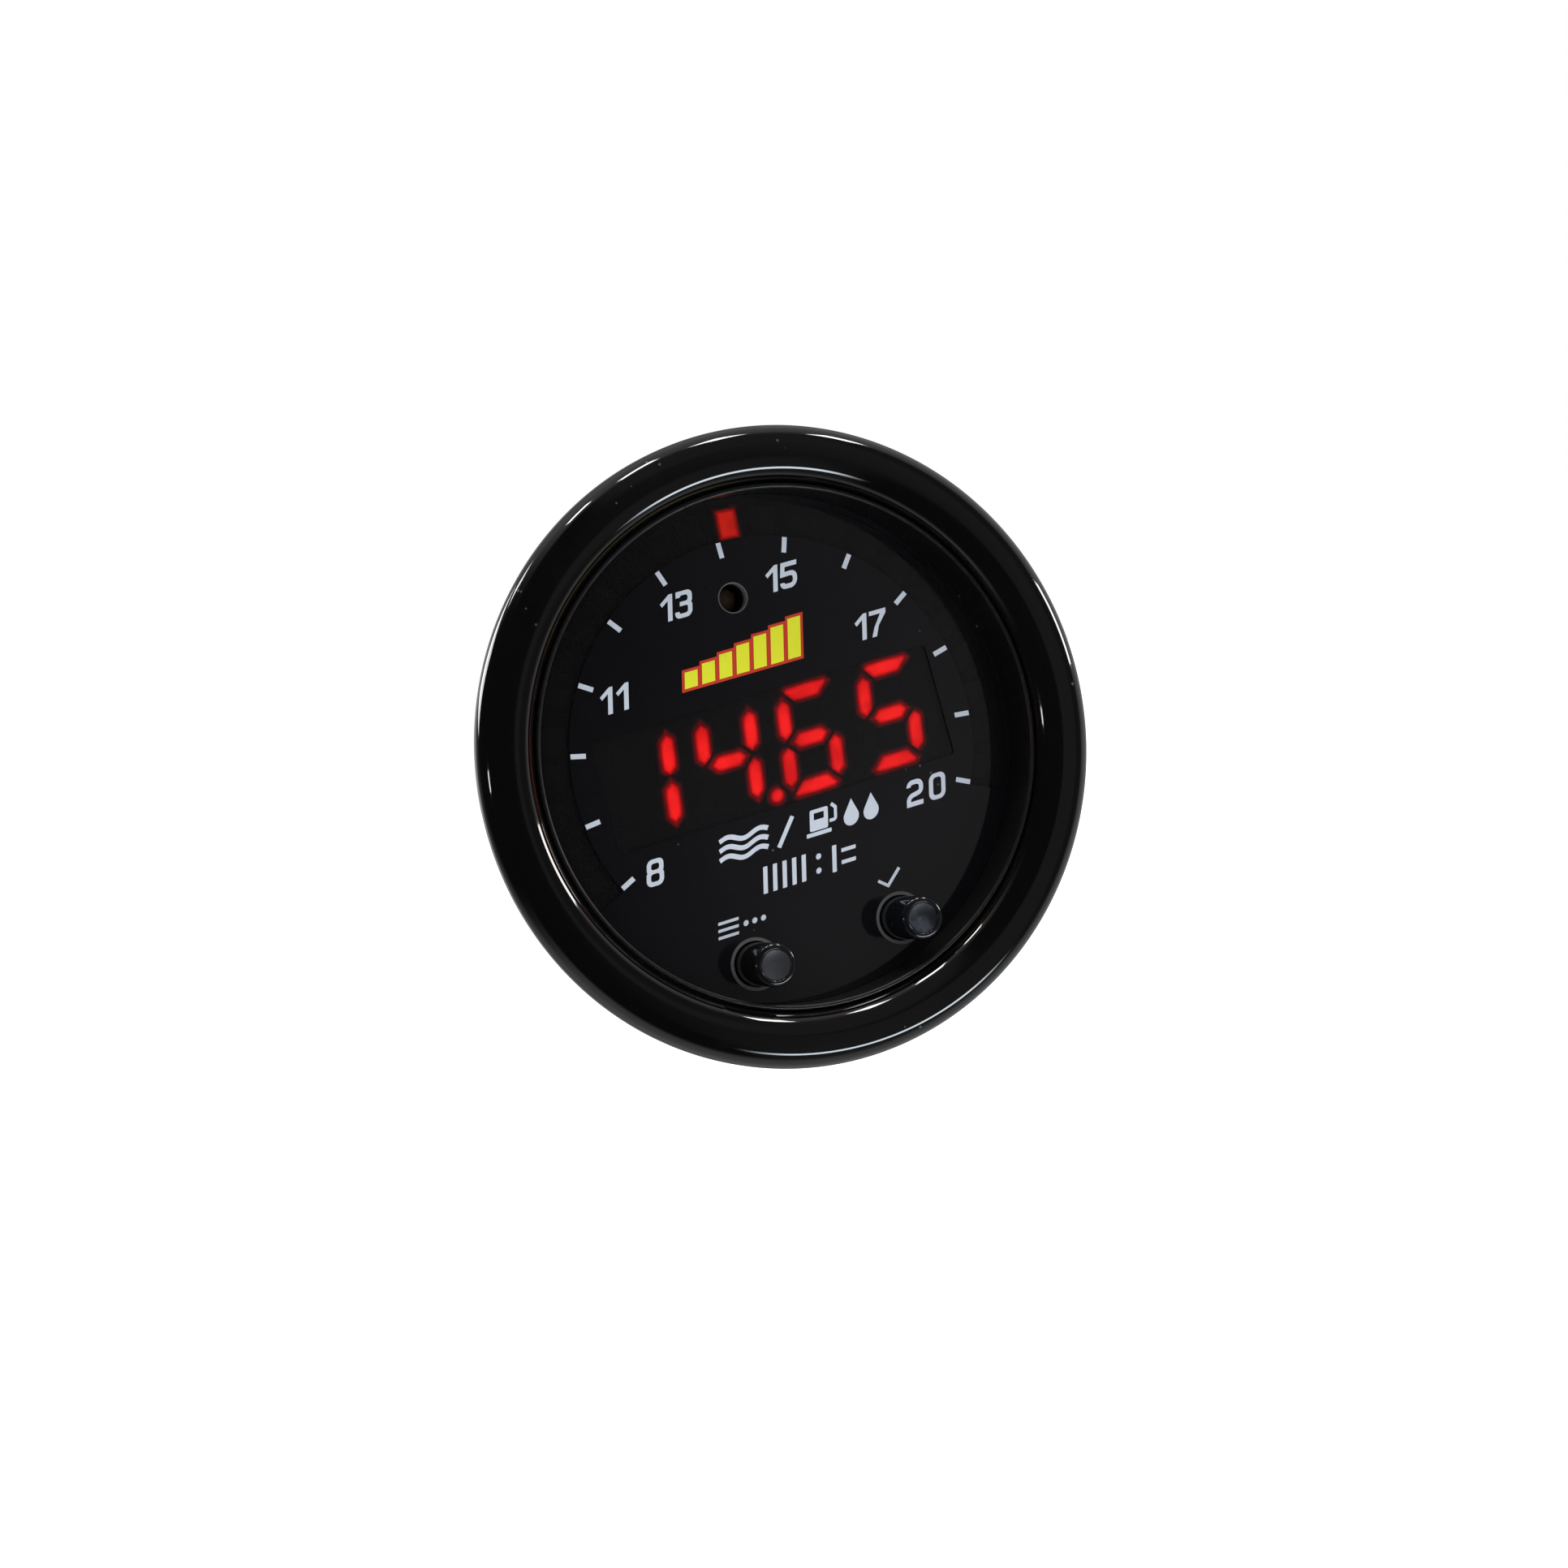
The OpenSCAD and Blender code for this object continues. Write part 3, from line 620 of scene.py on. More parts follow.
def board_finish(name, colour):
    """Green solder mask over copper tracks, with tinned vias."""
    finish = Finish(name, specular_ior_level=0.5)
    x, z = finish.axis("X"), finish.axis("Z")
    flat = finish.vector(x, z, 0.0)
    track = finish.node(
        "ShaderNodeTexBrick",
        {"offset": 0.5, "squash": 0.7, "squash_frequency": 3},
        {
            "Vector": flat,
            "Scale": 260.0,
            "Mortar Size": 0.06,
            "Mortar Smooth": 0.3,
            "Brick Width": 0.9,
            "Row Height": 0.28,
        },
        "Fac",
    )
    routed = track * (finish.noise(160, 1, 0.5, flat) > 0.5)
    via = (finish.cells(420, flat) < 0.1) * (finish.noise(190, 1, 0.5, flat) > 0.52)
    base = finish.blend(colour, scaled(colour, 2.1), routed)
    finish.set("base color", finish.blend(base, (0.62, 0.62, 0.6), via))
    finish.set("metallic", via)
    finish.set("roughness", finish.noise(900, 2) * 0.1 + 0.3)
    finish.relief(routed + via, 0.00003)
    return finish.material


def outside(finish, centre, half):
    """A mask of what lies outside a box across the board, for legs and end caps."""
    x = abs(finish.axis("X") - centre[0]) > half[0]
    z = abs(finish.axis("Z") - centre[1]) > half[1]
    return x.maths("MAXIMUM", x, z)


def chip_finish(name, colour, centre, half):
    """Moulded epoxy with tinned legs outside its body."""
    finish = Finish(name, specular_ior_level=0.45)
    legs = outside(finish, centre, half)
    grain = finish.noise(6000, 2, 0.6)
    epoxy = finish.blend(colour, scaled(colour, 1.8), grain)
    finish.set("base color", finish.blend(epoxy, TINNED, legs))
    finish.set("metallic", legs)
    finish.set("roughness", grain * 0.15 + (0.5 - legs * 0.2))
    finish.relief(grain, 0.000006)
    return finish.material


# How much of a can stands between its base and the patch on its end
CAN_SLEEVE = 0.0034


def can_finish(name, colour, base_depth):
    """An aluminium can on a black base, with a dark polarity patch on its end."""
    finish = Finish(name)
    depth = finish.axis("Y")
    base = depth < base_depth
    grain = finish.noise(5200, 2, 0.6, finish.stretch(1.0, 0.1, 1.0))
    patch = finish.cells(330) < 0.18
    sleeve = finish.blend(colour, scaled(colour, 0.78), grain)
    sleeve = finish.blend(sleeve, (0.03, 0.03, 0.035), patch * (depth > base_depth + CAN_SLEEVE))
    finish.set("base color", finish.blend(sleeve, (0.02, 0.02, 0.02), base))
    finish.set("metallic", 1 - base)
    finish.set("roughness", grain * 0.12 + 0.28 + base * 0.25)
    finish.relief(grain, 0.000003)
    return finish.material


def capped_finish(name, colour, metal, centre, body_half, axis_name):
    """Small blocks in a row whose ends are tinned along one axis."""
    finish = Finish(name, specular_ior_level=0.45)
    ends = abs(finish.axis(axis_name) - centre) > body_half
    grain = finish.noise(4200, 2, 0.6)
    body = finish.blend(colour, scaled(colour, 0.75), grain)
    finish.set("base color", finish.blend(body, metal, ends))
    finish.set("metallic", ends)
    finish.set("roughness", grain * 0.15 + 0.42 - ends * 0.12)
    finish.relief(grain, 0.000005)
    return finish.material


def chip_cup_finish(name, case, phosphor):
    """A pale chip case with patches of clear resin over its phosphor."""
    finish = Finish(name, specular_ior_level=0.5)
    resin = finish.ramp(finish.cells(1500), 0.3, 0.45)
    grain = finish.noise(5200, 2, 0.6)
    finish.set("base color", finish.blend(phosphor, finish.blend(case, scaled(case, 0.85), grain), resin))
    finish.set("roughness", 0.15 + 0.3 * resin)
    finish.relief(grain, 0.000003)
    return finish.material


# The studio's level where it is dark, what its right front and its sides add, and the share that both lose
# further out
STUDIO_DARK = 0.02
STUDIO_FRONT = 0.14
STUDIO_SIDES = 0.6
STUDIO_FADE = 0.6


def surroundings(tree, way):
    """How bright the studio is in a direction, as shiny surfaces mirror it.

    It is dark in front, darkest where the camera stands and to the left, grey all round, and white behind the
    gauge on the left.
    """
    x, y, z = (tree.node("ShaderNodeSeparateXYZ", {}, {"Vector": way}, axis) for axis in "XYZ")
    right_front = tree.ramp(x + abs(z) * 0.5, 0.27, 0.43) * (1 - STUDIO_FADE * tree.ramp(x, 0.5, 0.7))
    front = STUDIO_DARK + STUDIO_FRONT * right_front
    all_round = tree.ramp(x - z * 0.3, -0.9, -0.5) * (1 - STUDIO_FADE * tree.ramp(y, 0.45, 0.8))
    sides = STUDIO_DARK + STUDIO_SIDES * all_round
    share = tree.ramp(y, -0.42, -0.12)
    left = 1 - tree.ramp(x, -0.35, 0.1)
    return front * (1 - share) + sides * share + left * tree.ramp(y, 0.93, 0.99)


# The long lamp under the gauge, which only shiny surfaces show: where it lies, the way that its length runs,
# half its length and width as shares of its distance, the softness of its edge, its tint and its level
STRIP_WAY = Vector((0.306, -0.62, -0.72)).normalized()
STRIP_RUN = Vector((0.94, 0.32, 0.09))
STRIP_HALF_LENGTH = 0.3
STRIP_HALF_WIDTH = 0.07
STRIP_SOFT = 0.25
STRIP_TINT = (0.84, 0.93, 1.0, 1.0)
STRIP_LEVEL = 18.0


def light_strip(tree, way):
    """A mask of the long lamp."""
    along = (STRIP_RUN - STRIP_WAY * STRIP_WAY.dot(STRIP_RUN)).normalized()
    masks = []
    for axis, half in ((along, STRIP_HALF_LENGTH), (STRIP_WAY.cross(along), STRIP_HALF_WIDTH)):
        sockets = {0: way, 1: tuple(axis)}
        off = tree.node("ShaderNodeVectorMath", {"operation": "DOT_PRODUCT"}, sockets, "Value")
        masks.append(1 - tree.ramp(abs(off), half * (1 - STRIP_SOFT), half * (1 + STRIP_SOFT)))
    return masks[0] * masks[1]


def stage_finish(name, colour, shown):
    """White paper that takes the gauge's shadow. Shiny surfaces mirror the studio in its place."""
    finish = Finish(name, roughness=0.9, specular_ior_level=0.1)
    fibre = finish.noise(900, 3, 0.6)
    finish.set("base color", finish.blend(colour, scaled(colour, 0.98), fibre))
    seen = finish.ray("Is Camera Ray") + finish.ray("Is Transmission Ray")
    bright = finish.node("ShaderNodeEmission", {}, {"Strength": seen * shown})
    lit_paper = Wire(finish, finish.shader.outputs["BSDF"])
    paper = finish.node("ShaderNodeAddShader", {}, {0: lit_paper, 1: bright})
    way = finish.node("ShaderNodeVectorMath", {"operation": "NORMALIZE"}, {0: finish.spot})
    grey = finish.blend(BLACK, WHITE, surroundings(finish, way))
    mirror = finish.node("ShaderNodeEmission", {}, {"Color": grey, "Strength": 1.0})
    lamp = finish.node("ShaderNodeEmission", {}, {"Color": STRIP_TINT, "Strength": STRIP_LEVEL})
    mirror = finish.node("ShaderNodeMixShader", {}, {0: light_strip(finish, way), 1: mirror, 2: lamp})
    both = finish.node("ShaderNodeMixShader", {}, {0: finish.ray("Is Glossy Ray"), 1: paper, 2: mirror})
    finish.links.new(both.socket, finish.output.inputs["Surface"])
    return finish.material


def paint(node, material):
    """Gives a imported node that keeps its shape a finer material."""
    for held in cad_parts[node].material_slots:
        held.material = material


# Sizes and colours that a user would change

CAP_LOW, CAP_HIGH = drawn_box("mode_button_cap")
FILM_LOW, FILM_HIGH = drawn_box("dial_film")
LENS_LOW = drawn_box("face_lens")[0]
BEZEL_LOW, BEZEL_HIGH = drawn_box("bezel_ring")
CASE_LOW, CASE_HIGH = drawn_box("case_body")
BOARD_LOW = drawn_box("main_board")[0]
SEGMENTS_LOW, SEGMENTS_HIGH = drawn_box("display_segments")
BARS_LOW, BARS_HIGH = drawn_box("bar_light_guides")
SENSOR_LOW, SENSOR_HIGH = drawn_box("light_sensor")
SCREWS_LOW, SCREWS_HIGH = drawn_box("stack_screws")
INSERTS_LOW, INSERTS_HIGH = drawn_box("bracket_inserts")


def length(name, description, default):
    return FloatProperty(
        name=name, description=description, default=default, min=0, precision=5, unit="LENGTH"
    )


def degrees(name, description, default):
    return FloatProperty(
        name=name, description=description, default=math.radians(default), unit="ROTATION"
    )


def share(name, description, default):
    return FloatProperty(
        name=name, description=description, default=default, min=0, max=1, subtype="FACTOR"
    )


def colour(name, description, default):
    return FloatVectorProperty(
        name=name, description=description, default=default, size=3, min=0, max=1, subtype="COLOR"
    )


def number(name, description, default, least=0):
    return IntProperty(name=name, description=description, default=default, min=least)


class BezelSettings(bpy.types.PropertyGroup):
    """Sizes and finish of the bezel."""

    bore: length("Bore radius", "Radius of the hole that the collar stands in", 0.0246)
    edge: length("Outer edge radius", "Round of the front's outer edge", 0.002)
    lip: length("Inner lip radius", "Round of the front's inner edge", 0.0024)
    back: length("Back edge radius", "Round of the edge on the panel", 0.0004)
    seat: length("Seat radius", "Radius of the step that takes the case's flange", 0.02865)
    colour: colour("Colour", "Colour of the bezel's plastic", (0.0016, 0.0016, 0.0017))
    roughness: share("Roughness", "Roughness of the bezel's shine", 0.05)


class CaseSettings(bpy.types.PropertyGroup):
    """Sizes and finish of the case."""

    bore: length("Bore radius", "Inside radius behind the face", 0.0235)
    recess: length("Recess radius", "Inside radius in front of the face", 0.0241)
    collar: length("Collar radius", "Outside radius of the collar in the bezel", 0.02455)
    collar_round: length("Collar round", "Round of the collar's two edges", 0.0002)
    flange: length("Flange thickness", "Thickness of the flange under the bezel", 0.001)
    spigot: length("Spigot radius", "Radius of the spigot in the panel's hole", 0.026)
    spigot_length: length("Spigot length", "Length of the spigot behind the panel", 0.00508)
    body: length("Body radius", "Radius of the case behind the spigot", 0.025)
    gasket_outer: length("Gasket groove's outer radius", "Outer radius of the groove for the gasket", 0.028)
    gasket_inner: length("Gasket groove's inner radius", "Inner radius of the groove for the gasket", 0.0266)
    gasket_depth: length("Gasket groove's depth", "Depth of the groove for the gasket", 0.00055)
    groove_count: number("Grip grooves", "Number of grooves round the case", 3)
    groove_first: length("First groove", "Distance of the first groove from the spigot's step", 0.0014)
    groove_pitch: length("Groove pitch", "Distance between two grooves", 0.0026)
    groove_width: length("Groove width", "Width of one groove", 0.0012)
    groove_depth: length("Groove depth", "Depth of one groove", 0.0004)
    key_width: length("Key width", "Width of the key slot on top", 0.003)
    key_depth: length("Key depth", "Depth of the key slot", 0.0008)
    colour: colour("Colour", "Colour of the case's plastic", (0.004, 0.004, 0.0044))


class FaceSettings(bpy.types.PropertyGroup):
    """Sizes and finish of the printed film and the lens."""

    window_inner: length("Clear ring's inner radius", "Inner radius of the clear ring over the bars", 0.02015)
    window_outer: length("Clear ring's outer radius", "Outer radius of the clear ring over the bars", 0.02345)
    window_angle: degrees("Clear ring's angle", "Angle that the clear ring spans", 231.2)
    display_width: length("Display window width", "Width of the clear window over the digits", 0.0348)
    display_height: length("Display window height", "Height of the clear window over the digits", 0.0109)
    display_corner: length("Display window corner", "Corner radius of that window", 0.0004)
    sensor_hole: length("Sensor hole radius", "Radius of the film's hole over the sensor", 0.0015)
    button_hole: length("Button hole radius", "Radius of the film's hole round a cap", 0.00255)
    # The pale rims in the holes are a painted highlight along the lens's bare edge
    sensor_rim: length("Sensor rim", "Width of the pale rim in the sensor's hole", 0.00014)
    button_rim: length("Button rim", "Width of the pale rim in a cap's hole", 0.00036)
    rim_highlight_colour: colour("Rim colour", "Colour of the lens's bare edge in the holes", (0.1, 0.1, 0.101))
    colour: colour("Film colour", "Colour of the printed film", (0.0037, 0.0037, 0.0048))
    roughness: share("Roughness", "Roughness of the film's shine", 0.06)
    lens_alpha: share("Smoke", "How much the lens hides of what is behind it", 0.72)


class ScaleSettings(bpy.types.PropertyGroup):
    """The scale's marks and numbers."""

    count: number("Marks", "Number of scale marks", 13, 2)
    first_angle: degrees("First angle", "Angle of the first mark, from the right", 205)
    span: degrees("Span", "Angle from the first mark to the last", 230)
    radius: length("Radius", "Radius of the middle of the marks", 0.0193)
    mark_length: length("Mark length", "Length of one mark", 0.00147)
    mark_width: length("Mark width", "Width of one mark", 0.00047)
    ink: length("Ink height", "Height of the print over the film", 0.00002)
    number_height: length("Number height", "Height of the numbers", 0.00244)
    pen_share: share("Pen share", "Width of a number's stroke as a share of its height", 0.18)
    slant: degrees("Slant", "Slant of the numbers and symbols", 15)
    colour: colour("Ink colour", "Colour of the marks, numbers and symbols", (0.64, 0.71, 0.82))
    emblem_fill: colour("Emblem colour", "Fill of the level emblem", (0.84, 0.88, 0.02))
    emblem_rim: colour("Emblem rim colour", "Rim of the level emblem", (0.6, 0.035, 0.01))


class DisplaySettings(bpy.types.PropertyGroup):
    """The four digits."""

    reading: StringProperty(name="Reading", description="What the display shows", default="14.65")
    pitch: length("Digit pitch", "Distance between two digits", 0.008465)
    first: length("Row shift", "Shift of the row of digits to the left", 0.00016)
    height: length("Digit height", "Height between the middles of the top and bottom segments", 0.00883)
    width: length("Digit width", "Width between the middles of the upright segments", 0.00492)
    segment: length("Segment width", "Width of one segment", 0.0014)
    gap: length("Segment gap", "Gap between two segments", 0.00042)
    slant: degrees("Slant", "Slant of the digits", 9.35)
    point: length("Point diameter", "Diameter of a decimal point", 0.00145)
    point_share: share("Point place", "Place of the point as a share of the pitch", 0.517)
    halo: length("Halo", "Width of the light that spills round a lit segment", 0.0006)
    fade: share("Fade", "How much darker a lit segment's ends are than its middle", 0.45)
    lit: colour("Lit colour", "Colour at the core of a lit segment", (1.0, 0.012, 0.01))
    edge: colour("Edge colour", "Colour near the edge of a lit segment", (0.55, 0.0, 0.002))


class BarSettings(bpy.types.PropertyGroup):
    """The ring of light bars."""

    count: number("Bars", "Number of light bars", 24, 1)
    lit: number("Lit bar", "Which bar is lit, from zero at the first value", 12)
    radius: length("Radius", "Radius of the middle of the bars", 0.0216)
    bar_length: length("Bar length", "Length of one bar along the radius", 0.0029)
    width: length("Bar width", "Width of one bar", 0.0021)
    span: degrees("Span", "Angle of the whole ring of bars", 230)
    halo: length("Halo", "Width of the light that spills round the lit bar", 0.0005)
    core: colour("Lit colour", "Colour at the core of the lit bar", (0.8, 0.014, 0.004))
    edge: colour("Edge colour", "Colour near the edge of the lit bar", (0.34, 0.001, 0.001))


class ButtonSettings(bpy.types.PropertyGroup):
    """The two button caps."""

    radius: length("Cap radius", "Radius of a cap", 0.00205)
    rim: length("Rim radius", "Round of the cap's outer edge", 0.00045)
    dish: length("Dish depth", "Depth of the dish in the cap's end", 0.0002)
    dish_share: share("Dish share", "Radius of the dish as a share of the cap's", 0.72)
    flange: length("Flange width", "Width of the flange that keeps the cap in", 0.00075)
    flange_thickness: length("Flange thickness", "Thickness of that flange", 0.0007)
    foot: length("Foot radius", "Radius of the cap's foot", 0.0015)
    foot_height: length("Foot height", "Height of the cap's foot", 0.0004)
    mode_colour: colour("Mode cap colour", "Colour of the left cap", (0.0045, 0.0046, 0.0054))
    select_colour: colour("Select cap colour", "Colour of the right cap", (0.0046, 0.0053, 0.007))


class RearSettings(bpy.types.PropertyGroup):
    """Screws, inserts and contacts behind the gauge."""

    screw_head: length("Screw head radius", "Radius of a screw's head", 0.0019)
    screw_head_height: length("Screw head height", "Height of a screw's head", 0.0012)
    screw_shank: length("Screw radius", "Radius of a screw's shank", 0.001)
    recess_length: length("Recess length", "Length of the cross recess", 0.0025)
    recess_width: length("Recess width", "Width of the cross recess", 0.0005)
    recess_depth: length("Recess depth", "Depth of the cross recess", 0.0006)
    insert_radius: length("Insert radius", "Outer radius of a bracket insert", 0.0021)
    insert_bore: length("Insert bore", "Radius of an insert's tapped hole", 0.00125)
    thread_pitch: length("Thread pitch", "Pitch of the insert's thread", 0.0005)
    knurls: number("Knurls", "Knurls round an insert", 16, 3)
    knurl_radius: length("Knurl radius", "Radius of one knurl", 0.00018)
    contact_pitch: length("Contact pitch", "Distance between two contacts", 0.003)
    contact_width: length("Contact width", "Width of one contact", 0.00064)
    contact_tip: length("Contact tip", "Length of a contact's tapered tip", 0.0008)


class StageSettings(bpy.types.PropertyGroup):
    """Camera, lamps and floor."""

    camera: FloatVectorProperty(
        name="Camera place", description="Where the camera stands", default=(-0.0997, -0.28626, 0.01376),
        size=3, subtype="TRANSLATION", unit="LENGTH",
    )
    lens: FloatProperty(name="Focal length", description="Focal length in millimetres", default=74.577)
    floor: FloatProperty(name="Floor height", description="Height of the floor", default=-0.12, unit="LENGTH")
    floor_half: length("Floor half", "Half the floor's width", 3.0)
    lamp_distance: length("Lamp distance", "Distance of the lamps from the gauge", 0.6)
    lamp_level: FloatProperty(name="Lamp level", description="Scales all lamps together", default=1.0, min=0)
    world_level: share("World level", "Strength of the even light from all round", 0.68)


class GaugeSettings(bpy.types.PropertyGroup):
    """All settings of the gauge."""

    bezel: PointerProperty(type=BezelSettings, name="Bezel", description="The bezel")
    case: PointerProperty(type=CaseSettings, name="Case", description="The case")
    face: PointerProperty(type=FaceSettings, name="Face", description="The film and the lens")
    scale: PointerProperty(type=ScaleSettings, name="Scale", description="The scale's prints")
    display: PointerProperty(type=DisplaySettings, name="Display", description="The digits")
    bars: PointerProperty(type=BarSettings, name="Light bars", description="The ring of light bars")
    buttons: PointerProperty(type=ButtonSettings, name="Buttons", description="The button caps")
    rear: PointerProperty(type=RearSettings, name="Rear", description="What is behind the gauge")
    stage: PointerProperty(type=StageSettings, name="Stage", description="Camera, lamps and floor")


# Numbers and symbols

# The width of a wide figure, and the steps before and after a figure, as shares of the height
FIGURE_WIDTH = 0.72
NARROW_ADVANCE = (0.36, 0.3)
WIDE_ADVANCE = (0.0, 0.98)


def glyph_shapes(pen):
    """Each figure as a list of plates, and each plate as its outline and its holes. The height is 1."""
    w = FIGURE_WIDTH
    low, top, left, right = pen / 2, 1 - pen / 2, pen / 2, w - pen / 2
    thin = pen * 0.9
    shapes = {}
    shapes["0"] = [[
        rectangle(w / 2, 0.5, w, 1, 0.26),
        rectangle(w / 2, 0.5, w - 2 * pen, 1 - 2 * thin, 0.12)[::-1],
    ]]
    shapes["8"] = [[
        fillet([(0, 0, 0.24), (w, 0, 0.24), (w, 0.47, 0.13), (w - 0.05, 0.525, 0.02),
                (w - 0.015, 0.58, 0.12), (w - 0.015, 1, 0.22), (0.015, 1, 0.22), (0.015, 0.58, 0.12),
                (0.05, 0.525, 0.02), (0, 0.47, 0.13)]),
        rectangle(w / 2, (thin + 0.455) / 2, w - 2 * pen, 0.455 - thin, 0.1)[::-1],
        rectangle(w / 2, (0.6 + 1 - thin) / 2, w - 2 * pen - 0.03, 0.4 - thin, 0.09)[::-1],
    ]]
    shapes["1"] = [[[Vector(p) for p in (
        (0, 0), (pen * 1.05, 0), (pen * 1.05, 1), (0.04, 1), (-0.33, 0.71), (-0.24, 0.58), (0, 0.77))]]]
    shapes["2"] = [[pen_line(fillet(
        [(left, 0.74), (left, top, 0.16), (right, top, 0.2), (right, 0.5, 0.16), (left, 0.38, 0.2),
         (left, low), (w, low)]), pen)]]
    shapes["3"] = [[fillet([
        (0.03, 1), (w - 0.01, 1, 0.22), (w - 0.01, 0.575, 0.11), (w - 0.055, 0.525, 0.02), (w, 0.47, 0.13),
        (w, 0, 0.24), (0, 0, 0.2), (0, 0.25), (pen, 0.25), (pen, thin, 0.07), (w - pen, thin, 0.1),
        (w - pen, 0.445, 0.08), (0.2, 0.445), (0.2, 0.605), (w - pen - 0.01, 0.605, 0.08),
        (w - pen - 0.01, 1 - thin, 0.1), (0.03 + pen, 1 - thin, 0.05), (0.03 + pen, 0.77), (0.03, 0.77)])]]
    shapes["5"] = [[pen_line(fillet(
        [(w - 0.02, top), (left + 0.02, top), (left, 0.545), (right, 0.565, 0.2), (right, low, 0.2),
         (left, low, 0.14), (left, 0.24)]), pen)]]
    shapes["7"] = [[[Vector(p) for p in (
        (0, 1), (w, 1), (w, 1 - pen), (0.42, 0.4), (0.33, 0), (0.33 - pen * 1.1, 0), (0.23, 0.36),
        (w - pen * 1.3, 1 - thin), (0, 1 - thin))]]]
    return shapes


def number_plates(text, height, pen_share, slant):
    """The plates of a number, leaning, with its middle at the origin."""
    shapes = glyph_shapes(pen_share)
    x = 0.0
    plates = []
    for figure in text:
        before, after = NARROW_ADVANCE if figure == "1" else WIDE_ADVANCE
        x += before
        for plate in shapes[figure]:
            plates.append([shift(loop, x, 0) for loop in plate])
        x += after
    leaning = [[lean([p * height for p in loop], slant) for loop in plate] for plate in plates]
    cx, cy = middle([plate[0] for plate in leaning])
    return [[shift(loop, -cx, -cy) for loop in plate] for plate in leaning]


def wave(x, y, width, rise, pen, count=40):
    """A wavy stroke."""
    points = [
        Vector((x + width * (i / count - 0.5), y + rise * math.sin(2 * math.pi * 1.5 * i / count)))
        for i in range(count + 1)
    ]
    return [pen_line(points, pen)]


def drop(x, y, height, width):
    """A drop with its tip up."""
    radius = width / 2
    points = [Vector((x, y + height / 2))]
    base = y - height / 2 + radius
    reach = y + height / 2 - base
    first = math.acos(radius / reach)
    for i in range(33):
        angle = math.pi / 2 - first - (2 * math.pi - 2 * first) * i / 32
        points.append(Vector((x + radius * math.cos(angle), base + radius * math.sin(angle))))
    return [points[::-1]]


def in_metres(outline):
    """An outline that was drawn in millimetres, in metres."""
    return [p * MM for p in outline]


def symbol_plates(pen, slant):
    """The generic symbols under the display and over the buttons, each set leaning and in place.

    They and the pen are drawn in millimetres.
    """
    tall = 2.46
    air = [wave(-5.6, y, 5.0, 0.24, pen) for y in (-7.0, -7.86, -8.72)]
    stroke = [pen_line([Vector((-2.0, -9.1)), Vector((-0.55, -6.62))], pen)]
    pump = [rectangle(2.2, -7.62, 1.9, 1.96, 0.18), rectangle(2.2, -7.3, 1.06, 0.62, 0.08)[::-1]]
    foot = [rectangle(2.2, -8.9, 2.6, 0.36, 0.06)]
    bends = fillet([(3.32, -8.05), (3.95, -8.05, 0.2), (3.95, -6.95, 0.1), (3.5, -6.55)])
    hose = [pen_line(bends, pen * 0.7)]
    drops = [drop(x, -7.86, tall, 1.6) for x in (5.6, 7.7)]
    parts = [[rectangle(x, -11.65, pen, tall, 0.05)] for x in (-4.5, -3.5, -2.5, -1.5, -0.5)]
    colon = [[circle(1.05, y, 0.27, count=32)] for y in (-11.0, -12.3)]
    share_of = [[rectangle(2.7, -11.65, pen, tall, 0.05)]]
    share_of += [[rectangle(4.2, y, 1.5, pen * 0.8, 0.04)] for y in (-11.1, -12.2)]
    lines = [[rectangle(-9.3, y, 2.1, pen * 0.62, 0.03)] for y in (-14.32, -14.97, -15.62)]
    dots = [[circle(x, -14.97, 0.26, count=32)] for x in (-7.5, -6.6, -5.7)]
    tick = [pen_line([Vector((6.35, -14.95)), Vector((7.2, -15.65)), Vector((8.75, -14.3))], pen * 0.66)]
    rows = (
        ([*air, stroke, pump, foot, hose, *drops], slant, -7.86),
        (parts + colon + share_of, slant, -11.65),
        (lines + dots, slant, -14.97),
        ([tick], 0, 0),
    )
    return [
        [in_metres(lean(loop, angle, base)) for loop in plate]
        for plates, angle, base in rows
        for plate in plates
    ]


def emblem_bars(slant, count=7):
    """Leaning bars that rise to the right: the outlines of the bars, then of the rim behind them."""
    first, pitch, half, low, shortest, rise, base = -5.9, 1.78, 0.66, 7.68, 1.5, 0.37, 9.5
    rim, rim_half, end_half = 0.27, 0.89, 0.94
    bars, rims = [], []
    for i in range(count):
        x = first + i * pitch
        high = low + shortest + i * rise
        left, right = (end_half if i == end else rim_half for end in (0, count - 1))
        bars.append(block(x - half, low, x + half, high))
        rims.append(block(x - left, low - rim, x + right, high + rim))
    return [[in_metres(lean(outline, slant, base)) for outline in outlines] for outlines in (bars, rims)]


# Digits

SEGMENTS_OF = {
    "0": "abcdef", "1": "bc", "2": "abged", "3": "abgcd", "4": "fgbc",
    "5": "afgcd", "6": "afgedc", "7": "abc", "8": "abcdefg", "9": "abcdfg",
}


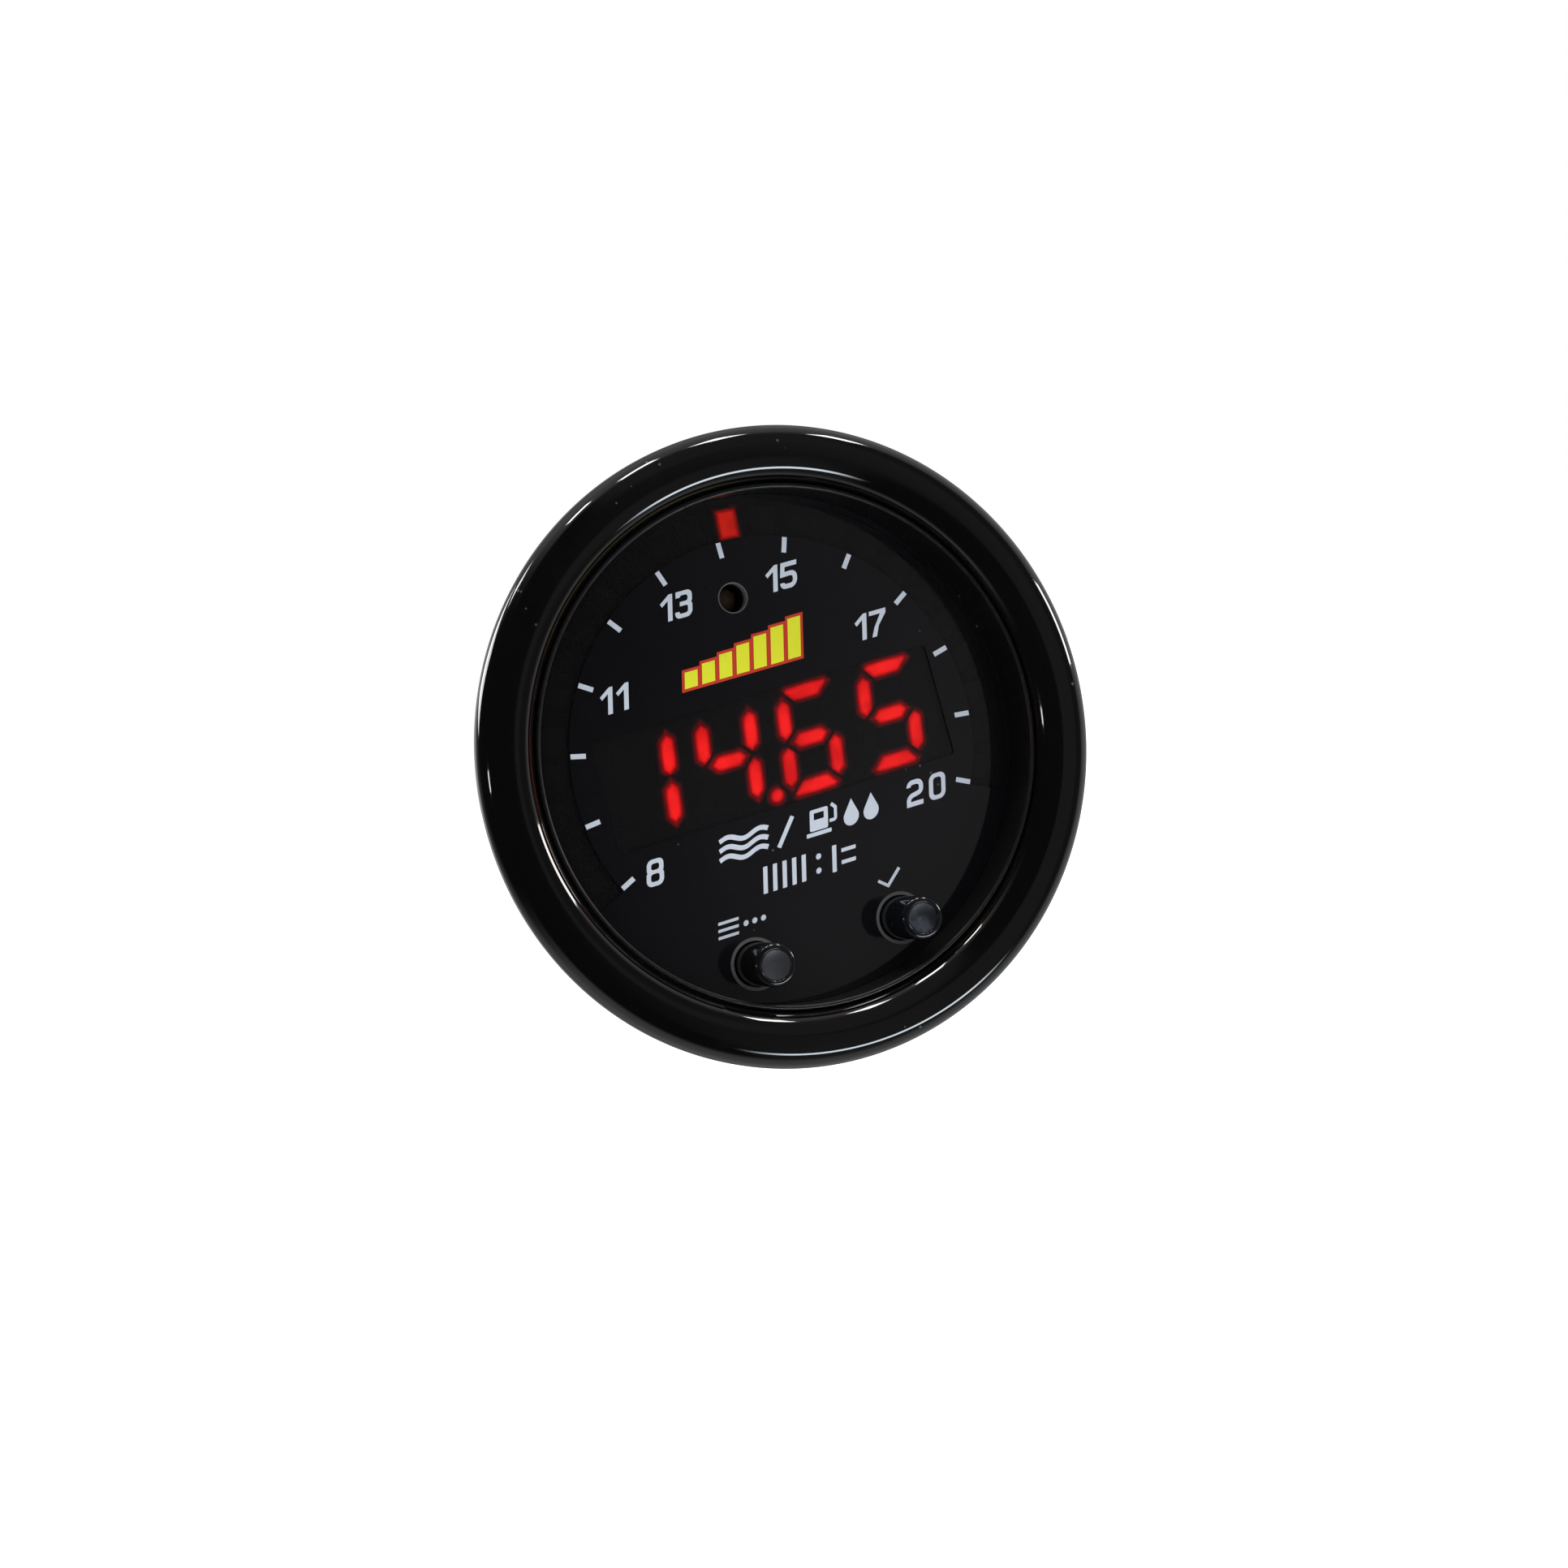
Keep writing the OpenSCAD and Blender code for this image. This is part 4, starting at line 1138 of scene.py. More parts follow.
def segment_outline(name, s):
    """The outline of one of a digit's segments, upright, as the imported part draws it."""
    column = s.height / 2
    wide = s.segment
    if name in "ad":
        long = s.width - s.gap / 2
        h, q = long / 2, wide / 4
        points = [(-h, q), (q - h, 2 * q), (h - q, 2 * q), (h, q), (h - 3 * q, -2 * q), (3 * q - h, -2 * q)]
        turned = [Vector((x, y)) for x, y in points]
        if name == "d":
            turned = [-p for p in turned]
        y = column if name == "a" else -column
        return shift(turned, 0, y)[::-1]
    long = s.width - s.gap - wide / 2 if name == "g" else column - s.gap
    h, p = long / 2, wide / 2
    points = [Vector(q) for q in ((-h, 0), (p - h, p), (h - p, p), (h, 0), (h - p, -p), (p - h, -p))]
    if name == "g":
        return points[::-1]
    points = [Vector((-q.y, q.x)) for q in points]
    x = s.width / 2 if name in "bc" else -s.width / 2
    y = column / 2 if name in "bf" else -column / 2
    return shift(points, x, y)[::-1]


# How bright a lit area and its spilled light are from the edge inwards: shares of the feather and of the glow
CORE_STEPS = ((0.0, 0.26), (0.35, 0.55), (0.7, 0.85), (1.0, 1.0))
HALO_STEPS = ((0.0, 0.0), (0.5, 0.16), (1.0, 0.24))
# How far a lit top stands over the unlit ones, how thick a sheet of spilled light is, and their longest sides
LIT_STAND = 0.00006
SHEET = 0.000002
CORE_SIDE = 0.0003
HALO_SIDE = 0.0004


def add_glowing(bm, glow, outline, low, high, feather, steps=CORE_STEPS, fade=0.0):
    """Adds a closed plate whose top glows more from its edge inwards, and less towards its ends."""
    centre = sum(outline, Vector((0, 0))) / len(outline)
    reach = max((p - centre).length for p in outline)
    rings = []
    for part, level in steps:
        loop = shrink(outline, feather * part) if part else outline
        ring = [bm.verts.new(place(p.x, p.y, high)) for p in loop]
        for vert, p in zip(ring, loop):
            vert[glow] = level * (1 - fade * ((p - centre).length / reach) ** 2)
        rings.append(ring)
    count = len(outline)
    for one, two in zip(rings, rings[1:]):
        for i in range(count):
            n = (i + 1) % count
            bm.faces.new((one[i], one[n], two[n], two[i]))
    bm.faces.new(rings[-1])
    bottom = [bm.verts.new(place(p.x, p.y, low)) for p in outline]
    for i in range(count):
        n = (i + 1) % count
        bm.faces.new((rings[0][i], bottom[i], bottom[n], rings[0][n]))
    bm.faces.new(bottom[::-1])


def split_sides(outline, longest):
    """Splits long sides, so that a glow can vary along them."""
    points = []
    for i, here in enumerate(outline):
        after = outline[(i + 1) % len(outline)]
        count = max(1, round((after - here).length / longest))
        points += [here.lerp(after, k / count) for k in range(count)]
    return points


# Patterns that repeat


def ring_pattern(name, shape):
    """A ring of blocks or rods round each point of the mesh, but for one copy that is left out."""
    pattern = Pattern(name, {
        "Count": int, "Left out": int, "First angle": float, "Step": float, "Radius": float,
        "Length": float, "Width": float, "Thickness": float,
    })
    index = pattern.node("GeometryNodeInputIndex")
    line = pattern.node(
        "GeometryNodeMeshLine",
        {"mode": "OFFSET"},
        {"Count": pattern.value("Count"), "Offset": (0.0, 0.0, 0.0)},
    )
    angle = pattern.value("First angle") - index * pattern.value("Step")
    radius = pattern.value("Radius")
    spot = pattern.vector(
        radius * angle.maths("COSINE", angle), 0.0, radius * angle.maths("SINE", angle)
    )
    points = pattern.node("GeometryNodeSetPosition", {}, {"Geometry": line, "Position": spot})
    if shape == "block":
        size = pattern.vector(pattern.value("Length"), pattern.value("Thickness"), pattern.value("Width"))
        unit = pattern.node("GeometryNodeMeshCube", {}, {"Size": size})
        turn = pattern.vector(0.0, 0.0 - angle, 0.0)
    else:
        unit = pattern.node(
            "GeometryNodeMeshCylinder",
            {},
            {"Vertices": 12, "Radius": pattern.value("Width"), "Depth": pattern.value("Length")},
        )
        turn = pattern.vector(math.pi / 2, 0.0, 0.0)
    kept = pattern.node(
        "FunctionNodeCompare",
        {"data_type": "INT", "operation": "NOT_EQUAL"},
        {2: index, 3: pattern.value("Left out")},
    )
    ring = pattern.copies(points, unit, turn, kept)
    return pattern, pattern.copies(pattern.value("Points"), ring)


def contact_pattern(name):
    """Rows of square contacts with tapered tips, set round each point of the mesh."""
    pattern = Pattern(name, {
        "Columns": int, "Pitch": float, "Width": float, "Length": float, "Tip": float,
    })
    pitch, columns = pattern.value("Pitch"), pattern.value("Columns")
    grid = pattern.node(
        "GeometryNodeMeshGrid",
        {},
        {"Size X": pitch * (columns - 1), "Size Y": pitch, "Vertices X": columns, "Vertices Y": 2},
    )
    flat = pattern.moved(grid, (math.pi / 2, 0.0, 0.0))
    width, tip = pattern.value("Width"), pattern.value("Tip")
    length = pattern.value("Length") - tip
    shank = pattern.node("GeometryNodeMeshCube", {}, {"Size": pattern.vector(width, length, width)})
    shank = pattern.moved(shank, None, pattern.vector(0.0, length * 0.5, 0.0))
    point = pattern.node(
        "GeometryNodeMeshCone",
        {},
        {"Vertices": 4, "Radius Top": width * 0.28, "Radius Bottom": width * 0.7071, "Depth": tip},
    )
    point = pattern.moved(point, (0.0, 0.0, math.pi / 4))
    point = pattern.moved(point, (-math.pi / 2, 0.0, 0.0), pattern.vector(0.0, length, 0.0))
    contact = pattern.node("GeometryNodeJoinGeometry", {}, {"Geometry": [shank, point]})
    row = pattern.copies(flat, contact)
    return pattern, pattern.copies(pattern.value("Points"), row)


def copy_pattern(name):
    """One copy of a drawn template at each point of the mesh."""
    pattern = Pattern(name, {"Template": "object"})
    drawn = pattern.node("GeometryNodeObjectInfo", {}, {"Object": pattern.value("Template")}, "Geometry")
    return pattern, pattern.copies(pattern.value("Points"), drawn)


# Operators


class MakeBezel(bpy.types.Operator):
    """Turn the glossy bezel with its rounded front edge and inner lip."""

    bl_idname = "ratio_gauge.make_bezel"
    bl_label = "Bezel"

    def execute(self, context):
        s = context.scene.ratio_gauge.bezel
        flange = context.scene.ratio_gauge.case.flange
        outline = fillet(
            [
                (s.seat, BEZEL_LOW.z), (BEZEL_HIGH.x, BEZEL_LOW.z, s.back),
                (BEZEL_HIGH.x, BEZEL_HIGH.z, s.edge), (s.bore, BEZEL_HIGH.z, s.lip),
                (s.bore, flange), (s.seat, flange),
            ],
            steps=28,
        )
        bm = bmesh.new()
        add_lathe(bm, outline, turns=288)
        finish = gloss_finish("Bezel gloss", tuple(s.colour), s.roughness, dust_share=0.735)
        seat(make_object("bezel", bm, finish), GAUGE, "bezel", "bezel_ring")
        return {"FINISHED"}


class MakeCase(bpy.types.Operator):
    """Turn the case with its collar, flange, gasket groove, spigot, grip grooves and key slot."""

    bl_idname = "ratio_gauge.make_case"
    bl_label = "Case"

    def execute(self, context):
        s = context.scene.ratio_gauge.case
        step = s.spigot - s.body
        soft, softer = 0.0001, 0.0002
        groove_start = -s.spigot_length - step - s.groove_first
        outline = [
            (s.bore, LENS_LOW.z), (s.recess, LENS_LOW.z), (s.recess, CASE_HIGH.z, s.collar_round),
            (s.collar, CASE_HIGH.z, s.collar_round), (s.collar, s.flange), (CASE_HIGH.x, s.flange, soft),
            (CASE_HIGH.x, 0, soft), (s.gasket_outer, 0), (s.gasket_outer, s.gasket_depth),
            (s.gasket_inner, s.gasket_depth), (s.gasket_inner, 0), (s.spigot, 0),
            (s.spigot, -s.spigot_length, softer), (s.body, -s.spigot_length - step, softer),
        ]
        for i in range(s.groove_count):
            top = groove_start - i * s.groove_pitch
            deep = s.body - s.groove_depth
            outline += [
                (s.body, top, soft), (deep, top, soft), (deep, top - s.groove_width, soft),
                (s.body, top - s.groove_width, soft),
            ]
        outline += [(s.body, CASE_LOW.z), (s.bore, CASE_LOW.z)]
        bm = bmesh.new()
        slot_top = -s.spigot_length - step
        floor = s.body - s.key_depth
        add_keyed_lathe(bm, fillet(outline, steps=6), s.key_width / 2, floor, slot_top, turns=240)
        finish = moulded_finish("Case plastic", tuple(s.colour), roughness=0.4, grain=2400, depth=0.000008)
        seat(make_object("case", bm, finish), GAUGE, "case", "case_body")
        paint("panel_gasket", foam_finish("Gasket foam", (0.02, 0.02, 0.02)))
        return {"FINISHED"}


class MakeFace(bpy.types.Operator):
    """Cut the glossy film with its clear ring, display window and holes, and smoke the lens under it."""

    bl_idname = "ratio_gauge.make_face"
    bl_label = "Face"

    def execute(self, context):
        s = context.scene.ratio_gauge.face
        half = math.degrees(s.window_angle) / 2
        ring = arc(s.window_outer, 90 - half, 90 + half, count=200)
        ring += arc(s.window_inner, 90 + half, 90 - half, count=200)
        cap_x, cap_y = (CAP_LOW.x + CAP_HIGH.x) / 2, (CAP_LOW.y + CAP_HIGH.y) / 2
        sensor_y = (SENSOR_LOW.y + SENSOR_HIGH.y) / 2
        loops = [
            circle(0, 0, FILM_HIGH.x, count=288),
            ring[::-1],
            rectangle(0, 0, s.display_width, s.display_height, s.display_corner)[::-1],
            circle(0, sensor_y, s.sensor_hole)[::-1],
            circle(cap_x, cap_y, s.button_hole)[::-1],
            circle(-cap_x, cap_y, s.button_hole)[::-1],
        ]
        bm = bmesh.new()
        add_slab(bm, loops, FILM_LOW.z, FILM_HIGH.z)
        gloss = gloss_finish(
            "Film gloss", tuple(s.colour), s.roughness, dust_share=0.73, relief_depth=0.0000008, ior=1.6
        )
        seat(make_object("face_film", bm, gloss), GAUGE, "film", "dial_film")
        bm = bmesh.new()
        soft = s.sensor_rim / 3
        rims = (
            (0, sensor_y, s.sensor_hole, s.sensor_rim, LENS_LOW.z),
            (cap_x, cap_y, s.button_hole, s.button_rim, FILM_LOW.z),
            (-cap_x, cap_y, s.button_hole, s.button_rim, FILM_LOW.z),
        )
        for x, y, outer, wide, low in rims:
            high = FILM_HIGH.z - soft
            profile = [(outer - wide, low), (outer, low), (outer, high, soft), (outer - wide, high, soft)]
            add_lathe(bm, fillet(profile, steps=4), x, y, turns=96)
        # The pale colour of the lens's bare edge in the holes is a painted highlight
        edge = moulded_finish("Lens edge", tuple(s.rim_highlight_colour), roughness=0.3, grain=2600, depth=0.000003)
        seat(make_object("hole_rims", bm, edge), GAUGE, "lens")
        paint("face_lens", smoked_finish("Smoked lens", (0.0064, 0.0062, 0.007), s.lens_alpha))
        return {"FINISHED"}


class MakeScale(bpy.types.Operator):
    """Print the scale's marks and numbers on the film."""

    bl_idname = "ratio_gauge.make_scale"
    bl_label = "Scale marks and numbers"

    # Each number and the place of its middle
    PLACES = (
        ("8", -0.0147, -0.0079), ("11", -0.0137, 0.0086), ("13", -0.0055, 0.0154),
        ("15", 0.0054, 0.0154), ("17", 0.0128, 0.0087), ("20", 0.0135, -0.0079),
    )

    def execute(self, context):
        s = context.scene.ratio_gauge.scale
        ink = ink_finish("Print ink", tuple(s.colour))
        pattern, ring = ring_pattern("Scale marks", "block")
        pattern.end(ring, ink)
        values = {
            "Count": s.count, "Left out": -1, "First angle": s.first_angle, "Step": s.span / (s.count - 1),
            "Radius": s.radius, "Length": s.mark_length, "Width": s.mark_width, "Thickness": s.ink,
        }
        marks = pattern.bake("scale_marks", [(0, 0, FILM_HIGH.z + s.ink / 2)], values, ink)
        seat(marks, GAUGE, "dial_print")
        bm = bmesh.new()
        for text, x, y in self.PLACES:
            for plate in number_plates(text, s.number_height, s.pen_share, math.degrees(s.slant)):
                add_slab(bm, [shift(loop, x, y) for loop in plate], FILM_HIGH.z, FILM_HIGH.z + s.ink)
        seat(make_object("scale_numbers", bm, ink), GAUGE, "dial_print")
        return {"FINISHED"}


class MakeSymbols(bpy.types.Operator):
    """Print the generic symbols under the display, over the buttons and above the display."""

    bl_idname = "ratio_gauge.make_symbols"
    bl_label = "Symbols and emblem"

    def execute(self, context):
        s = context.scene.ratio_gauge.scale
        slant = math.degrees(s.slant)
        bm = bmesh.new()
        for plate in symbol_plates(s.pen_share * s.number_height / MM, slant):
            add_slab(bm, plate, FILM_HIGH.z, FILM_HIGH.z + s.ink)
        ink = ink_finish("Symbol ink", tuple(s.colour))
        seat(make_object("face_symbols", bm, ink), GAUGE, "dial_print")
        bars, rims = emblem_bars(slant)
        bm = bmesh.new()
        for rim in rims:
            add_slab(bm, [rim], FILM_HIGH.z, FILM_HIGH.z + s.ink)
        rim_ink = ink_finish("Emblem rim ink", tuple(s.emblem_rim))
        seat(make_object("emblem_rim", bm, rim_ink), GAUGE, "emblem_print")
        bm = bmesh.new()
        for bar in bars:
            add_slab(bm, [bar], FILM_HIGH.z + s.ink, FILM_HIGH.z + 2 * s.ink)
        fill_ink = ink_finish("Emblem ink", tuple(s.emblem_fill))
        seat(make_object("emblem_bars", bm, fill_ink), GAUGE, "emblem_print")
        return {"FINISHED"}


class MakeDisplay(bpy.types.Operator):
    """Draw the digits' lit and unlit segments in the display's block."""

    bl_idname = "ratio_gauge.make_display"
    bl_label = "Display"

    # The width over which a segment's light rises from its edge, its strength, and where its edges turn sharp
    FEATHER = 0.0005
    LEVEL = 11.5
    SHARP = 60

    def execute(self, context):
        s = context.scene.ratio_gauge.display
        digits = s.reading.replace(".", "")
        if len(digits) != 4 or not digits.isdigit():
            raise ValueError("the display shows four digits")
        pointed = s.reading.find(".") - 1
        lit, dark, spill = bmesh.new(), bmesh.new(), bmesh.new()
        glow, spill_glow = (bm.verts.layers.float.new("glow") for bm in (lit, spill))
        slope = math.degrees(s.slant)
        front = max(SEGMENTS_HIGH.z, drawn_box("display_body")[1].z)
        for column, digit in enumerate(digits):
            x = (column - 1.5) * s.pitch - s.first
            shapes = {name: segment_outline(name, s) for name in "abcdefg"}
            shapes["."] = circle(s.point_share * s.pitch, -s.height / 2, s.point / 2, count=32)
            shown = SEGMENTS_OF[digit] + ("." if column == pointed else "")
            for name, outline in shapes.items():
                outline = shift(lean(outline, slope), x, 0)
                if name in shown:
                    wide = split_sides(shrink(outline, -s.halo), HALO_SIDE)
                    front += SHEET
                    add_glowing(spill, spill_glow, wide, front - SHEET, front, s.halo, HALO_STEPS)
                    outline = split_sides(outline, CORE_SIDE)
                    top = SEGMENTS_HIGH.z + LIT_STAND
                    add_glowing(lit, glow, outline, SEGMENTS_LOW.z, top, self.FEATHER, CORE_STEPS, s.fade)
                else:
                    add_slab(dark, [outline], SEGMENTS_LOW.z, SEGMENTS_HIGH.z)
        on = lit_finish("Lit segment", tuple(s.lit), tuple(s.edge), self.LEVEL)
        seat(make_object("lit_segments", lit, on, self.SHARP), GAUGE, "segment", "display_segments")
        seat(make_object("segment_halo", spill, on, self.SHARP), GAUGE, "segment")
        off = moulded_finish("Unlit segment", (0.03, 0.02, 0.02), roughness=0.5, grain=2200, depth=0.000004)
        seat(make_object("unlit_segments", dark, off), GAUGE, "segment", "display_segments")
        paint("display_body", moulded_finish(
            "Display block", (0.012, 0.012, 0.012), roughness=0.55, grain=2600, depth=0.000008))
        paint("display_pins", metal_finish("Tinned pin", (0.75, 0.74, 0.72), roughness=0.3))
        return {"FINISHED"}


class MakeLightBars(bpy.types.Operator):
    """Set out the ring of light bars, one of them lit, over their chips."""

    bl_idname = "ratio_gauge.make_light_bars"
    bl_label = "Light bars"

    # As for the display's segments, and how much darker the lit bar's ends are than its middle
    FEATHER = 0.0007
    FADE = 0.3
    LEVEL = 7.5
    SHARP = 60

    def execute(self, context):
        s = context.scene.ratio_gauge.bars
        step = s.span / s.count
        first = math.pi / 2 + s.span / 2 - step / 2
        guide = smoked_finish("Light guide", (0.05, 0.008, 0.007), alpha=1.0)
        pattern, ring = ring_pattern("Light bar ring", "block")
        pattern.end(ring, guide)
        values = {
            "Count": s.count, "Left out": s.lit, "First angle": first, "Step": step, "Radius": s.radius,
            "Length": s.bar_length, "Width": s.width, "Thickness": BARS_HIGH.z - BARS_LOW.z,
        }
        bars = pattern.bake("light_bars", [(0, 0, (BARS_LOW.z + BARS_HIGH.z) / 2)], values, guide)
        seat(bars, GAUGE, "light_guide", "bar_light_guides")
        turn = Matrix.Rotation(first - s.lit * step, 2)
        outline = [turn @ (p + Vector((s.radius, 0))) for p in rectangle(0, 0, s.bar_length, s.width)]
        bm = bmesh.new()
        glow = bm.verts.layers.float.new("glow")
        wide = split_sides(shrink(outline, -s.halo), HALO_SIDE)
        outline = split_sides(outline, CORE_SIDE)
        top = BARS_HIGH.z + LIT_STAND
        add_glowing(bm, glow, outline, BARS_LOW.z, top, self.FEATHER, CORE_STEPS, self.FADE)
        on = lit_finish("Lit light bar", tuple(s.core), tuple(s.edge), self.LEVEL)
        seat(make_object("lit_bar", bm, on, self.SHARP), GAUGE, "light_guide", "bar_light_guides")
        bm = bmesh.new()
        glow = bm.verts.layers.float.new("glow")
        add_glowing(bm, glow, wide, BARS_HIGH.z, BARS_HIGH.z + SHEET, s.halo, HALO_STEPS)
        seat(make_object("bar_halo", bm, on, self.SHARP), GAUGE, "light_guide")
        paint("light_baffle", moulded_finish(
            "Baffle plastic", (0.012, 0.012, 0.013), roughness=0.6, grain=2200, depth=0.00001))
        paint("bar_leds", chip_cup_finish("Light chip", (0.62, 0.6, 0.55), (0.7, 0.5, 0.06)))
        return {"FINISHED"}


class MakeSensor(bpy.types.Operator):
    """Turn the domed light sensor behind its hole."""

    bl_idname = "ratio_gauge.make_sensor"
    bl_label = "Light sensor"

    # How far the base stands out round the dome, and its height
    BASE_WIDTH = 0.00045
    BASE_HEIGHT = 0.0006

    def execute(self, context):
        y = (SENSOR_LOW.y + SENSOR_HIGH.y) / 2
        base = SENSOR_HIGH.x
        dome = base - self.BASE_WIDTH
        shoulder = SENSOR_LOW.z + self.BASE_HEIGHT
        round_top = [Vector((dome * math.sin(a), SENSOR_HIGH.z - dome + dome * math.cos(a)))
                     for a in (i * math.pi / 48 for i in range(25))]
        outline = round_top + fillet(
            [(dome, shoulder), (base, shoulder, 0.0001), (base, SENSOR_LOW.z), (0, SENSOR_LOW.z)], steps=4
        )
        bm = bmesh.new()
        add_lathe(bm, outline, 0, y, turns=64)
        finish = gloss_finish("Sensor epoxy", (0.05, 0.032, 0.022), roughness=0.12, dust_share=0.8)
        seat(make_object("sensor_dome", bm, finish), GAUGE, "sensor", "light_sensor")
        return {"FINISHED"}


def cap_outline(s):
    """A cap's profile, from the middle of its dish out and down to its foot."""
    dish_radius = s.dish_share * s.radius
    ball = (dish_radius**2 + s.dish**2) / (2 * s.dish)
    sweep = math.asin(dish_radius / ball)
    tip = CAP_HIGH.z
    dish = [
        Vector((ball * math.sin(sweep * i / 16), tip - s.dish + ball - ball * math.cos(sweep * i / 16)))
        for i in range(16)
    ]
    soft = 0.00005
    flange_top = CAP_LOW.z + s.foot_height + s.flange_thickness
    outer = s.radius + s.flange
    return dish + fillet(
        [
            (dish_radius, tip, 0.00012), (s.radius, tip, s.rim * 0.98), (s.radius, flange_top),
            (outer, flange_top, soft), (outer, flange_top - s.flange_thickness, soft),
            (s.foot, flange_top - s.flange_thickness), (s.foot, CAP_LOW.z, soft), (0, CAP_LOW.z),
        ],
        steps=14,
    )


# Where a cap's rubbed end with its painted sheen fades out: from and to these distances from its axis, and
# these places along it
RUBBED_SHEEN_RADII = (0.0013, 0.0016)
RUBBED_SHEEN_DEPTHS = (-0.00235, -0.00215)


def cap_finish(name, colour, axis_x, axis_z, mottled):
    """Black cap plastic: shiny on its side and rim, rubbed rougher in its dish, and painted lighter there as
    a painted sheen.
    """
    finish = Finish(name, specular_ior_level=0.5)
    x, z = finish.axis("X") - axis_x, finish.axis("Z") - axis_z
    inner = 1 - finish.ramp((x * x + z * z) ** 0.5, *RUBBED_SHEEN_RADII)
    end = finish.ramp(finish.axis("Y"), *RUBBED_SHEEN_DEPTHS)
    dish = inner * (1 - end)
    cloud = finish.ramp(finish.noise(520, 4, 0.6), 0.42, 0.72)
    dusty = finish.dust(2200, 0.14, 0.68)
    # The dish's colour, twelve times lighter and mottled by the cloud, is a painted sheen
    dull = scaled(colour, 12)
    base = finish.blend(colour, dull, dish * (cloud * mottled + (1 - mottled) * 0.5))
    finish.set("base color", finish.blend(base, (0.06, 0.06, 0.06), dusty * 0.5))
    finish.set("roughness", dish * 0.22 + cloud * 0.05 + 0.09 + dusty * 0.3)
    finish.relief(finish.noise(900, 3), 0.000003)
    return finish.material


class MakeButtons(bpy.types.Operator):
    """Turn the two long dished caps and finish what they press."""

    bl_idname = "ratio_gauge.make_buttons"
    bl_label = "Buttons"

    def execute(self, context):
        s = context.scene.ratio_gauge.buttons
        x, y = (CAP_LOW.x + CAP_HIGH.x) / 2, (CAP_LOW.y + CAP_HIGH.y) / 2
        # The last number of each cap says how mottled the painted sheen in its dish is
        caps = (
            ("mode_cap", x, MODE_BUTTON, "mode_button_cap", tuple(s.mode_colour), 0.2),
            ("select_cap", -x, SELECT_BUTTON, "select_button_cap", tuple(s.select_colour), 0.9),
        )
        for name, cap_x, body, node, tint, mottled in caps:
            bm = bmesh.new()
            add_lathe(bm, cap_outline(s), cap_x, y, turns=96)
            finish = cap_finish(name.replace("_", " ").capitalize() + " plastic", tint, cap_x, y, mottled)
            seat(make_object(name, bm, finish), body, "button", node)
        plunger = moulded_finish("Plunger plastic", (0.02, 0.02, 0.02), roughness=0.4)
        switch = metal_finish("Switch cover", (0.62, 0.62, 0.64), roughness=0.35)
        for side in ("mode", "select"):
            paint(side + "_plunger", plunger)
            paint(side + "_switch", switch)
        return {"FINISHED"}


class MakeCircuit(bpy.types.Operator):
    """Finish the circuit board and the parts that it carries."""

    bl_idname = "ratio_gauge.make_circuit"
    bl_label = "Circuit board"

    # The share of a small block between its tinned ends, and the height of a can's black base
    BODY_SHARE = 0.56
    CAN_BASE = 0.0009

    def execute(self, context):
        paint("main_board", board_finish("Solder mask", (0.006, 0.06, 0.03)))
        epoxy = (0.012, 0.012, 0.013)
        # A chip's last two numbers are half the width and height of its body inside its legs
        self.chip("microcontroller", "Controller epoxy", epoxy, 0.0035, 0.0035)
        self.chip("sensor_driver", "Driver epoxy", epoxy, 0.002, 0.00495)
        self.chip("voltage_regulator", "Regulator epoxy", (0.016, 0.016, 0.016), 0.00325, 0.00305)
        seat_depth = self.CAN_BASE - BOARD_LOW.z
        paint("filter_capacitors", can_finish("Capacitor can", (0.74, 0.75, 0.77), seat_depth))
        paint("power_inductor", moulded_finish(
            "Ferrite", (0.05, 0.05, 0.055), roughness=0.62, grain=3200, depth=0.00002))
        paint("clock_crystal", metal_finish("Crystal lid", (0.8, 0.8, 0.77), roughness=0.28))
        tin = (0.74, 0.73, 0.7)
        for node, name, tint, axis in (
            ("ceramic_capacitors", "Ceramic", (0.42, 0.27, 0.15), "Z"),
            ("chip_resistors", "Resistor", (0.015, 0.015, 0.018), "X"),
        ):
            low, high = drawn_box(node)
            low, high = (low.x, high.x) if axis == "X" else (low.y, high.y)
            half = (high - low) / 2 * self.BODY_SHARE
            paint(node, capped_finish(name, tint, tin, (low + high) / 2, half, axis))
        return {"FINISHED"}

    def chip(self, node, name, tint, half_x, half_y):
        """Finishes one packed chip."""
        low, high = drawn_box(node)
        centre = ((low.x + high.x) / 2, (low.y + high.y) / 2)
        paint(node, chip_finish(name, tint, centre, (half_x, half_y)))


class MakeSockets(bpy.types.Operator):
    """Set tapered contacts in the two rear sockets."""

    bl_idname = "ratio_gauge.make_sockets"
    bl_label = "Sockets"

    def execute(self, context):
        s = context.scene.ratio_gauge.rear
        plastic = moulded_finish(
            "Socket plastic", (0.009, 0.009, 0.009), roughness=0.5, grain=2400, depth=0.000008)
        brass = metal_finish("Contact plating", (0.83, 0.64, 0.3), roughness=0.25)
        for name, columns in (("power", 2), ("sensor", 3)):
            paint(name + "_socket", plastic)
            low, high = drawn_box(name + "_contacts")
            pattern, rows = contact_pattern(name.capitalize() + " contacts")
            pattern.end(rows, brass)
            values = {
                "Columns": columns, "Pitch": s.contact_pitch, "Width": s.contact_width,
                "Length": high.z - low.z, "Tip": s.contact_tip,
            }
            spot = ((low.x + high.x) / 2, (low.y + high.y) / 2, high.z)
            pins = pattern.bake(name + "_pins", [spot], values, brass)
            seat(pins, GAUGE, "contact", name + "_contacts")
        return {"FINISHED"}


